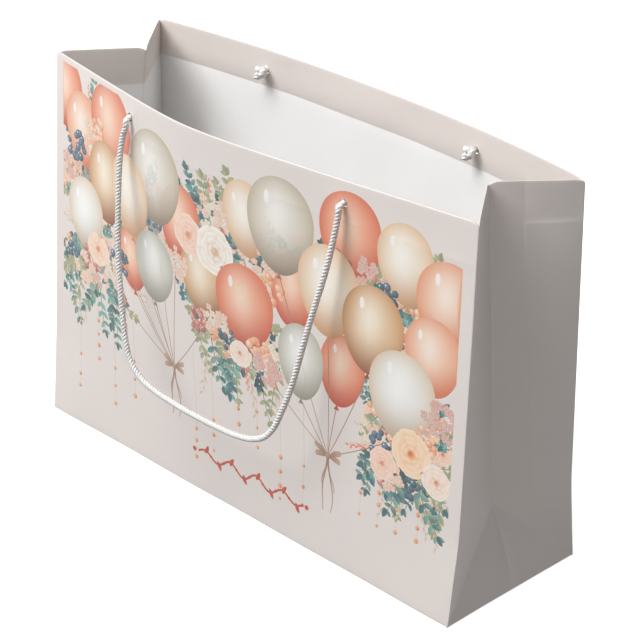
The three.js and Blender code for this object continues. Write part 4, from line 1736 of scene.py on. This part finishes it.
    def _drop_hidden(self, cell: float = 0.5) -> None:
        """Leave out the shapes and inner points that later opaque shapes cover.

        Args:
            cell: size of the squares on which the cover is judged.
        """
        columns = int(2 * self.edge / cell) + 2
        rows = int(self.top / cell) + 2
        top = np.full((rows, columns), -1)

        def cells(points: np.ndarray) -> tuple[np.ndarray, np.ndarray]:
            """Give the column and the row of the cell that each point lies in."""
            column = np.clip(((points[:, 0] + self.edge) / cell).astype(int), 0, columns - 1)
            return np.clip((points[:, 1] / cell).astype(int), 0, rows - 1), column

        for number, blot in enumerate(self.blots):
            if not blot.opaque:
                continue
            (r0, r1), (c0, c1) = ((int(v.min()), int(v.max()) + 1) for v in cells(blot.outline))
            x, z = np.meshgrid((np.arange(c0, c1) + 0.5) * cell - self.edge, (np.arange(r0, r1) + 0.5) * cell)
            a, b = blot.outline, np.roll(blot.outline, -1, axis=0)
            crossed = np.zeros(x.shape, bool)
            for (ax, az), (bx, bz) in zip(a, b):
                if az != bz:
                    crossed ^= ((az > z) != (bz > z)) & (x < (bx - ax) * (z - az) / (bz - az) + ax)
            top[r0:r1, c0:c1][crossed] = number
        ahead = [np.roll(blot.outline, -1, axis=0) for blot in self.blots]
        sizes = np.array([abs(np.sum(blot.outline[:, 0] * b[:, 1] - blot.outline[:, 1] * b[:, 0])) / 2
                          for blot, b in zip(self.blots, ahead)]) / cell**2
        seen = np.bincount(top[top >= 0].ravel(), minlength=len(self.blots))
        shown = seen > np.maximum(2, sizes * self.least_shown)
        kept: list[Blot] = []
        for number, blot in enumerate(self.blots):
            if shown[number] or not blot.opaque:
                if len(blot.inner):
                    blot.inner = blot.inner[top[cells(blot.inner)] <= number]
                kept.append(blot)
        LOG.info("print: %d of %d shapes show", len(kept), len(self.blots))
        self.blots = kept

    def inked(self, xs: np.ndarray, zs: np.ndarray, holes: Sequence[tuple[float, float]],
              hole_radius: float) -> InkedPanel:
        """Mesh the panel's flat rectangle along every printed outline and mix the inks.

        Args:
            xs: columns of the panel's grid.
            zs: rows of the panel's grid.
            holes: middles of the holes.
            hole_radius: their radius.

        Returns:
            The flat mesh with its ink.
        """
        self.draw()
        self._drop_hidden()
        grid = np.stack(np.meshgrid(xs, zs), axis=-1).reshape(-1, 2)
        columns, rows = len(xs), len(zs)
        apart = np.min([np.linalg.norm(grid - np.array(h), axis=1) for h in holes], axis=0)
        number = np.arange(len(grid)).reshape(rows, columns)
        border = np.concatenate([number[0], number[1:, -1], number[-1, -2::-1], number[-2:0:-1, 0]])
        used = np.flatnonzero(apart > hole_radius + 0.8)
        place = {int(n): i for i, n in enumerate(used)}
        points = [grid[used]]
        count = len(used)
        edges = [(place[int(a)], place[int(b)]) for a, b in zip(border, np.roll(border, -1))]
        faces: list[list[int]] = []
        for hole in holes:
            points.append(ring(np.array(hole), hole_radius, HOLE_SIDES))
            edges += [(count + i, count + (i + 1) % HOLE_SIDES) for i in range(HOLE_SIDES)]
            count += HOLE_SIDES
        for blot in self.blots:
            points.append(blot.outline)
            faces.append(list(range(count, count + len(blot.outline))))
            count += len(blot.outline)
            points.append(blot.inner)
            count += len(blot.inner)
        flat = [Vector(p) for p in np.concatenate(points).tolist()]
        made, _, triangles, origin, _, covers = delaunay_2d_cdt(flat, edges, faces, 0, 1e-5)
        corners = np.array([v[:] for v in made])
        known = np.full(len(corners), -1)
        for i, sources in enumerate(origin):
            for source in sources:
                if source < len(used):
                    known[i] = used[source]
        kept: list[list[int]] = []
        layers: list[list[int]] = []
        for face, cover in zip(triangles, covers):
            if len(face) != 3:
                continue
            kept.append(list(face))
            layers.append(list(cover))
        tri = np.array(kept)
        p = corners[tri]
        along, across = p[:, 1] - p[:, 0], p[:, 2] - p[:, 0]
        area = along[:, 0] * across[:, 1] - across[:, 0] * along[:, 1]
        tri[area < 0] = tri[area < 0][:, ::-1]
        middle = corners[tri].mean(axis=1)
        apart = np.min([np.linalg.norm(middle - np.array(h), axis=1) for h in holes], axis=0)
        keep = (apart > hole_radius * 0.98) & (np.abs(area) > 1e-9)
        members: list[list[int]] = [[] for _ in self.blots]
        for i, cover in enumerate(layers):
            if keep[i]:
                for blot in cover:
                    members[blot].append(i)
        colours = np.tile(np.array(linear(self.tint)), (len(tri), 3, 1))
        for blot, covered in zip(self.blots, members):
            if not covered:
                continue
            chosen = np.array(covered)
            spots = corners[tri[chosen]].reshape(-1, 2)
            ink = blot.paint(spots).reshape(-1, 3, 4)
            alpha = ink[..., 3:]
            colours[chosen] = colours[chosen] * (1 - alpha) + ink[..., :3] * alpha
        LOG.info("print: %d shapes, %d corners, %d faces", len(self.blots), len(corners), int(keep.sum()))
        return InkedPanel(corners, known, tri[keep].tolist(), colours[keep])


# ---- Cards and bottom ---------------------------------------------------------------------------


@dataclass
class TopCards:
    """The two stiff strips of board inside the turned-in hem, which carry the cord holes."""

    sheet: FoldedSheet
    near: float = 0.43
    far: float = 0.88
    height: float = 20.0
    below_rim: float = 0.9
    end_gap: float = 5.0

    def build(self) -> list[bpy.types.Object]:
        """Build both strips and set them in the bag."""
        return [self._strip(Wall.FRONT), self._strip(Wall.BACK)]

    def _strip(self, wall: Wall) -> bpy.types.Object:
        """Bend one strip along its panel.

        Args:
            wall: the panel.

        Returns:
            The piece.
        """
        form, half = self.sheet.form, self.sheet.form.half_width
        hole, frame_size = self.sheet.hole_flat_x(), self.sheet.hole_frame
        fixed = [s * hole + d for s in (-1, 1) for d in (-frame_size, frame_size)]
        x = spaced(-half + self.end_gap, half - self.end_gap, 4.0, fixed)
        top = form.rim - self.below_rim
        z = spaced(top - self.height, top, 4.0,
                   [self.sheet.hole_z - frame_size, self.sheet.hole_z + frame_size])
        u, height = np.meshgrid((x / half + 1) / 2, z)
        face, normal = form.point(wall, u, height), form.outward(wall, u, height)
        face = face + normal * self.sheet.relief(wall, u, height)[..., None]
        gather = MeshGather()
        ink = np.ones(3)
        layers = []
        for depth, inner in ((self.near, False), (self.far, True)):
            layer = face - normal * depth
            layers.append(layer)
            skip = np.zeros((len(z) - 1, len(x) - 1), bool)
            for side in (-1, 1):
                middle = side * hole
                c0, c1 = self.sheet.span_of(x, middle - frame_size, middle + frame_size)
                r0, r1 = self.sheet.span_of(z, self.sheet.hole_z - frame_size, self.sheet.hole_z + frame_size)
                skip[r0:r1, c0:c1] = True
                self.sheet.holed(gather, layer[r0 : r1 + 1, c0 : c1 + 1], x[c0 : c1 + 1], z[r0 : r1 + 1],
                                 (middle, self.sheet.hole_z), 0, ink, inner)
            gather.grid(layer, 0, ink, inside=inner, skip=skip)
        outer, back = layers
        gather.grid(np.stack([back[0], outer[0]]), 0, ink)
        gather.grid(np.stack([outer[-1], back[-1]]), 0, ink)
        gather.grid(np.stack([back[:, 0], outer[:, 0]], axis=1), 0, ink)
        gather.grid(np.stack([outer[:, -1], back[:, -1]], axis=1), 0, ink)
        piece = gather.build(f"{wall.value}_card_strip", [finish_of(Finish.BOARD)])
        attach(piece, "bag")
        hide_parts(f"{wall.value}_top_card")
        return piece


@dataclass
class Bottom:
    """The glued bottom flaps, and the loose base card that lies on them."""

    flaps: tuple[str, ...] = ("bottom_back_flap", "bottom_front_flap", "bottom_left_flap", "bottom_right_flap")
    corner_radius: float = 5.0
    edge_radius: float = 0.3
    warp: float = 0.35

    def build(self) -> bpy.types.Object:
        """Dress the flaps and build the base card.

        Returns:
            The base card.
        """
        for name in self.flaps:
            flap = frame["nodes"][name]
            flap.data.materials.clear()
            flap.data.materials.append(finish_of(Finish.TINTED))
        return self._card()

    def _card(self) -> bpy.types.Object:
        """Build the base card: a cut board with soft edges and a slight warp."""
        low, high = (np.array(corner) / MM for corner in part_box("base_card"))
        half, thick = (high[:2] - low[:2]) / 2, high[2] - low[2]
        middle = (high + low) / 2
        outline = []
        for sx, sy, start in ((1, -1, -90), (1, 1, 0), (-1, 1, 90), (-1, -1, 180)):
            centre = np.array([sx, sy]) * (half - self.corner_radius)
            for step in np.linspace(0, 90, 7):
                angle = math.radians(start + step)
                outline.append(centre + self.corner_radius * np.array([math.cos(angle), math.sin(angle)]))
        outline = np.array(outline)
        gather = MeshGather()
        rise, shares = thick / 2, (0.0, 0.2, 0.5, 0.8, 0.985)
        rings = [(share, 0.0, -rise) for share in shares]
        rings += [(1.0, self.edge_radius, -rise), (1.0, 0.0, self.edge_radius - rise),
                  (1.0, 0.0, rise - self.edge_radius), (1.0, self.edge_radius, rise)]
        rings += [(share, 0.0, rise) for share in reversed(shares)]
        rows = [self._ring(outline, share, cut, z, middle, low[2]) for share, cut, z in rings]
        gather.grid(np.stack(rows), 0, np.ones(3))
        card = gather.build("loose_base_card", [finish_of(Finish.BOARD)])
        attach(card, "base_card")
        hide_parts("base_card")
        return card

    def _ring(self, outline: np.ndarray, share: float, cut: float, z: float, middle: np.ndarray,
              floor: float) -> np.ndarray:
        """Place one ring of the card, drawn in towards its middle.

        Args:
            outline: the card's outline.
            share: how far out the ring lies.
            cut: how much its corner is rounded off.
            z: its height over the card's middle plane.
            middle: the card's middle.
            floor: the lowest height allowed.

        Returns:
            The ring's points, closed.
        """
        ringed = outline * share
        ringed = ringed - unit(np.concatenate([ringed, np.zeros((len(ringed), 1))], axis=1))[:, :2] * cut
        closed = np.concatenate([ringed, ringed[:1]])
        lift = self.warp * (np.abs(closed[:, 0]) / 196.0) ** 2
        heights = middle[2] + z + lift * (1 if z > 0 else 0.0)
        return np.stack([closed[:, 0] + middle[0], closed[:, 1] + middle[1],
                         np.maximum(heights, floor)], axis=1)


# ---- Handles ------------------------------------------------------------------------------------


def smooth_line(points: np.ndarray, step: float) -> np.ndarray:
    """Run a smooth curve through points and give it even steps.

    Args:
        points: (n, 3) points that the curve passes.
        step: wished distance between its stations.

    Returns:
        The stations.
    """
    padded = np.concatenate([[2 * points[0] - points[1]], points, [2 * points[-1] - points[-2]]])
    dense: list[np.ndarray] = []
    for i in range(1, len(padded) - 2):
        p0, p1, p2, p3 = padded[i - 1 : i + 3]
        gaps = [max(np.linalg.norm(b - a), 1e-6) ** 0.5 for a, b in ((p0, p1), (p1, p2), (p2, p3))]
        knots = np.cumsum([0] + gaps)
        for t in np.linspace(knots[1], knots[2], 24, endpoint=False):
            a1 = (p0 * (knots[1] - t) + p1 * (t - knots[0])) / (knots[1] - knots[0])
            a2 = (p1 * (knots[2] - t) + p2 * (t - knots[1])) / (knots[2] - knots[1])
            a3 = (p2 * (knots[3] - t) + p3 * (t - knots[2])) / (knots[3] - knots[2])
            b1 = (a1 * (knots[2] - t) + a2 * (t - knots[0])) / (knots[2] - knots[0])
            b2 = (a2 * (knots[3] - t) + a3 * (t - knots[1])) / (knots[3] - knots[1])
            dense.append((b1 * (knots[2] - t) + b2 * (t - knots[1])) / (knots[2] - knots[1]))
    dense.append(points[-1])
    line = np.array(dense)
    run = np.concatenate([[0], np.cumsum(np.linalg.norm(np.diff(line, axis=0), axis=1))])
    even = np.linspace(0, run[-1], max(4, int(round(run[-1] / step)) + 1))
    return np.stack([np.interp(even, run, line[:, k]) for k in range(3)], axis=1)


@dataclass
class TwistedRope:
    """Three-strand twisted cord, in millimetres."""

    diameter: float = 4.5
    strand: float = 1.52
    off_centre: float = 0.73
    pitch: float = 7.5
    around: int = 24
    step: float = 0.75

    def lay(self, gather: "RopeGather", line: np.ndarray, start_turn: float = 0.0,
            frayed: bool = False) -> None:
        """Lay cord along a line.

        Args:
            gather: where the mesh goes.
            line: points that the cord's middle follows.
            start_turn: the strands' turn at the start.
            frayed: whether the last few millimetres open out.
        """
        middle = smooth_line(line, self.step)
        tangent = unit(np.gradient(middle, axis=0))
        side = unit(np.cross(tangent[0], [0.31, 0.17, 0.93]))
        sides = [side]
        for t in tangent[1:]:
            side = unit(side - t * (side @ t))
            sides.append(side)
        side = np.array(sides)
        other = np.cross(tangent, side)
        run = np.concatenate([[0], np.cumsum(np.linalg.norm(np.diff(middle, axis=0), axis=1))])
        sides = self.around // 3
        local = (np.arange(self.around) % sides) / sides * 2 * math.pi / 3 - math.pi / 3
        lobe = np.arange(self.around) // sides
        radius = self.off_centre * np.cos(local) + np.sqrt(
            np.maximum(self.strand**2 - (self.off_centre * np.sin(local)) ** 2, 0))
        angle = local + lobe * 2 * math.pi / 3 + math.pi / 3
        turn = run[:, None] / self.pitch * 2 * math.pi + angle[None] + start_turn
        spread = np.ones(len(run))
        if frayed:
            spread += 0.22 * np.clip((run - run[-1] + 2.5) / 2.5, 0, 1)
        points = (middle[:, None] + side[:, None] * (np.cos(turn) * radius * spread[:, None])[..., None]
                  + other[:, None] * (np.sin(turn) * radius * spread[:, None])[..., None])
        lay = np.stack([np.repeat(run[:, None], self.around, axis=1),
                        np.repeat((local * 1.6 + lobe * 7.3)[None], len(run), axis=0),
                        np.repeat((lobe * 3.1)[None], len(run), axis=0)], axis=-1)
        # Painted shade: how deep each point lies between the strands, which darkens the cord there.
        low, high = radius.min(), radius.max()
        groove_shade = np.repeat(((high - radius) / (high - low))[None], len(run), axis=0)
        gather.tube(points, lay, groove_shade)


@dataclass
class RopeGather:
    """Gathers tubes of cord into one mesh, in millimetres."""

    points: list[np.ndarray] = field(default_factory=list)
    faces: list[list[int]] = field(default_factory=list)
    lays: list[np.ndarray] = field(default_factory=list)
    groove_shades: list[np.ndarray] = field(default_factory=list)
    count: int = 0

    def tube(self, rings: np.ndarray, lay: np.ndarray, groove_shade: np.ndarray) -> None:
        """Add one closed tube from its rings, the directions of its strands and the painted shade of its
        grooves.
        """
        rows, around = rings.shape[:2]
        for r in range(rows - 1):
            for c in range(around):
                a, b = self.count + r * around + c, self.count + r * around + (c + 1) % around
                self.faces.append([a, b, b + around, a + around])
        first = [self.count + c for c in range(around)]
        self.faces.append(first[::-1])
        self.faces.append([(rows - 1) * around + i for i in first])
        self.points.append(rings.reshape(-1, 3))
        self.lays.append(lay.reshape(-1, 3))
        self.groove_shades.append(groove_shade.ravel())
        self.count += rows * around

    def build(self, name: str) -> bpy.types.Object:
        """Make the piece, in metres."""
        mesh = bpy.data.meshes.new(name)
        mesh.from_pydata((np.concatenate(self.points) * MM).tolist(), [], self.faces)
        mesh.attributes.new("Lay", "FLOAT_VECTOR", "POINT").data.foreach_set(
            "vector", np.concatenate(self.lays).astype(np.float32).ravel())
        # Painted shade of the grooves between strands.
        mesh.attributes.new("GrooveShade", "FLOAT", "POINT").data.foreach_set(
            "value", np.concatenate(self.groove_shades).astype(np.float32))
        mesh.materials.append(finish_of(Finish.ROPE))
        mesh.shade_smooth()
        return place_object(name, mesh)


@dataclass
class RopeHandle:
    """One cord handle: knotted inside the bag, out through two holes, and hanging on the wall."""

    name: str
    body: str
    wall: Wall
    form: WallForm
    rope: TwistedRope
    outward: float
    hole_x: float = 100.0
    hole_z: float = 268.0
    standoff: float = 3.2
    tilt_deg: float = 9.0
    knot_depth: float = 6.7
    knot_scale: float = 1.05
    route: tuple[tuple[float, float], ...] = (
        (-100, 0), (-102.5, 13), (-103.5, 30), (-102, 52), (-99.5, 75), (-96.5, 96), (-92.5, 115),
        (-88, 133), (-82, 153), (-75, 168), (-64, 177), (-49, 181.5), (-32, 183.5), (-15, 184.7),
        (0, 185), (17, 185), (34, 184), (49, 181), (60, 175), (67, 166), (72, 153), (78, 133),
        (82, 112), (85.5, 92), (90.5, 68), (95, 46), (98.5, 20), (100, 0),
    )

    def _hole(self, x: float) -> np.ndarray:
        """Find the middle of a hole on the wall's outer face."""
        z = np.array(self.hole_z)
        half = float(self.form.corner(self.wall is Wall.BACK, z)[0])
        u = (1 - x / half) / 2 if self.wall is Wall.BACK else (x / half + 1) / 2
        return self.form.point(self.wall, np.array(u), z)

    def build(self) -> list[bpy.types.Object]:
        """Build the knots and the cord.

        Returns:
            The knots, then the cord.
        """
        holes = [self._hole(-self.hole_x), self._hole(self.hole_x)]
        out = np.array([0, self.outward, 0])
        pivots = [hole + out * self.standoff for hole in holes]
        middle = (pivots[0] + pivots[1]) / 2
        across = (pivots[1] - pivots[0]) / (2 * self.hole_x)
        tilt = math.radians(self.tilt_deg)
        down = np.array([0, self.outward * math.sin(tilt), -math.cos(tilt)])
        hanging = [middle + across * x + down * drop for x, drop in self.route[1:-1]]
        ends = []
        for hole, pivot, side in zip(holes, pivots, (-1, 1)):
            start = hole - out * self.knot_depth
            ends.append([start, hole - out * 3.5, hole - out * 0.5, hole + out * 1.9 - [0, 0, 0.5],
                         pivot + out * 0.75 + down * 2.2, pivot + out * 0.5 + down * 6.0])
        line = np.array([*ends[0], *hanging, *ends[1][::-1]])
        gather = RopeGather()
        self.rope.lay(gather, line)
        cord = gather.build(f"{self.name}_rope")
        knots = [self._knot(hole, side) for hole, side in zip(holes, ("left", "right"))]
        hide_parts(self.name)
        lean = unit(out * 0.5 - np.array([0, 0, 0.87]))
        lean = unit(lean - across / np.linalg.norm(across) * (lean @ across) / np.linalg.norm(across))
        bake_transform(cord)
        return [*knots, cord]

    def _knot(self, hole: np.ndarray, side: str) -> bpy.types.Object:
        """Tie the overhand knot inside one hole, with its short tail.

        Args:
            hole: middle of the hole on the outer face.
            side: left or right.

        Returns:
            The piece.
        """
        centre = hole - np.array([0, self.outward, 0]) * self.knot_depth
        turn = np.linspace(0, 2 * math.pi, 49)[:-1]
        plane = np.stack([np.sin(turn) + 2 * np.sin(2 * turn), np.cos(turn) - 2 * np.cos(2 * turn)], axis=1)
        loop = np.stack([plane[:, 0] * self.knot_scale, -np.sin(3 * turn) * 1.6 * self.outward,
                         plane[:, 1] * self.knot_scale], axis=1) + centre
        gather = RopeGather()
        self.rope.lay(gather, np.concatenate([loop, loop[:2]]))
        inward = -self.outward
        tail = np.array([[0, 0, 0], [-0.7, inward * 1.4, -1.0],
                         [-1.5, inward * 2.3, -2.6], [-1.9, inward * 2.6, -4.4]])
        self.rope.lay(gather, centre + tail, 1.0, frayed=True)
        prefix = self.name.split("_")[0]
        piece = gather.build(f"{prefix}_{side}_tied_knot")
        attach(piece, "bag")
        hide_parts(f"{prefix}_{side}_knot")
        return piece


def main() -> None:
    """Build the set, the handles and the bag, in that order, and report each piece."""
    logging.basicConfig(level=logging.INFO, format="%(name)s: %(message)s")
    Studio().build()
    form, rope = WallForm(), TwistedRope()
    pieces: list[bpy.types.Object] = []
    pieces += RopeHandle("front_handle", "front_handle", Wall.FRONT, form, rope, -1.0).build()
    pieces += RopeHandle("back_handle", "back_handle", Wall.BACK, form, rope, 1.0).build()
    sheet = FoldedSheet(form, art={Wall.FRONT: PrintedArt(), Wall.BACK: PrintedArt(seed=8, fullness=0.22)})
    pieces.append(sheet.build())
    pieces += TopCards(sheet).build()
    pieces.append(Bottom().build())
    for piece in pieces:
        LOG.info("%s: %d faces", piece.name, len(piece.data.polygons))


if __name__ == "__main__":
    main()
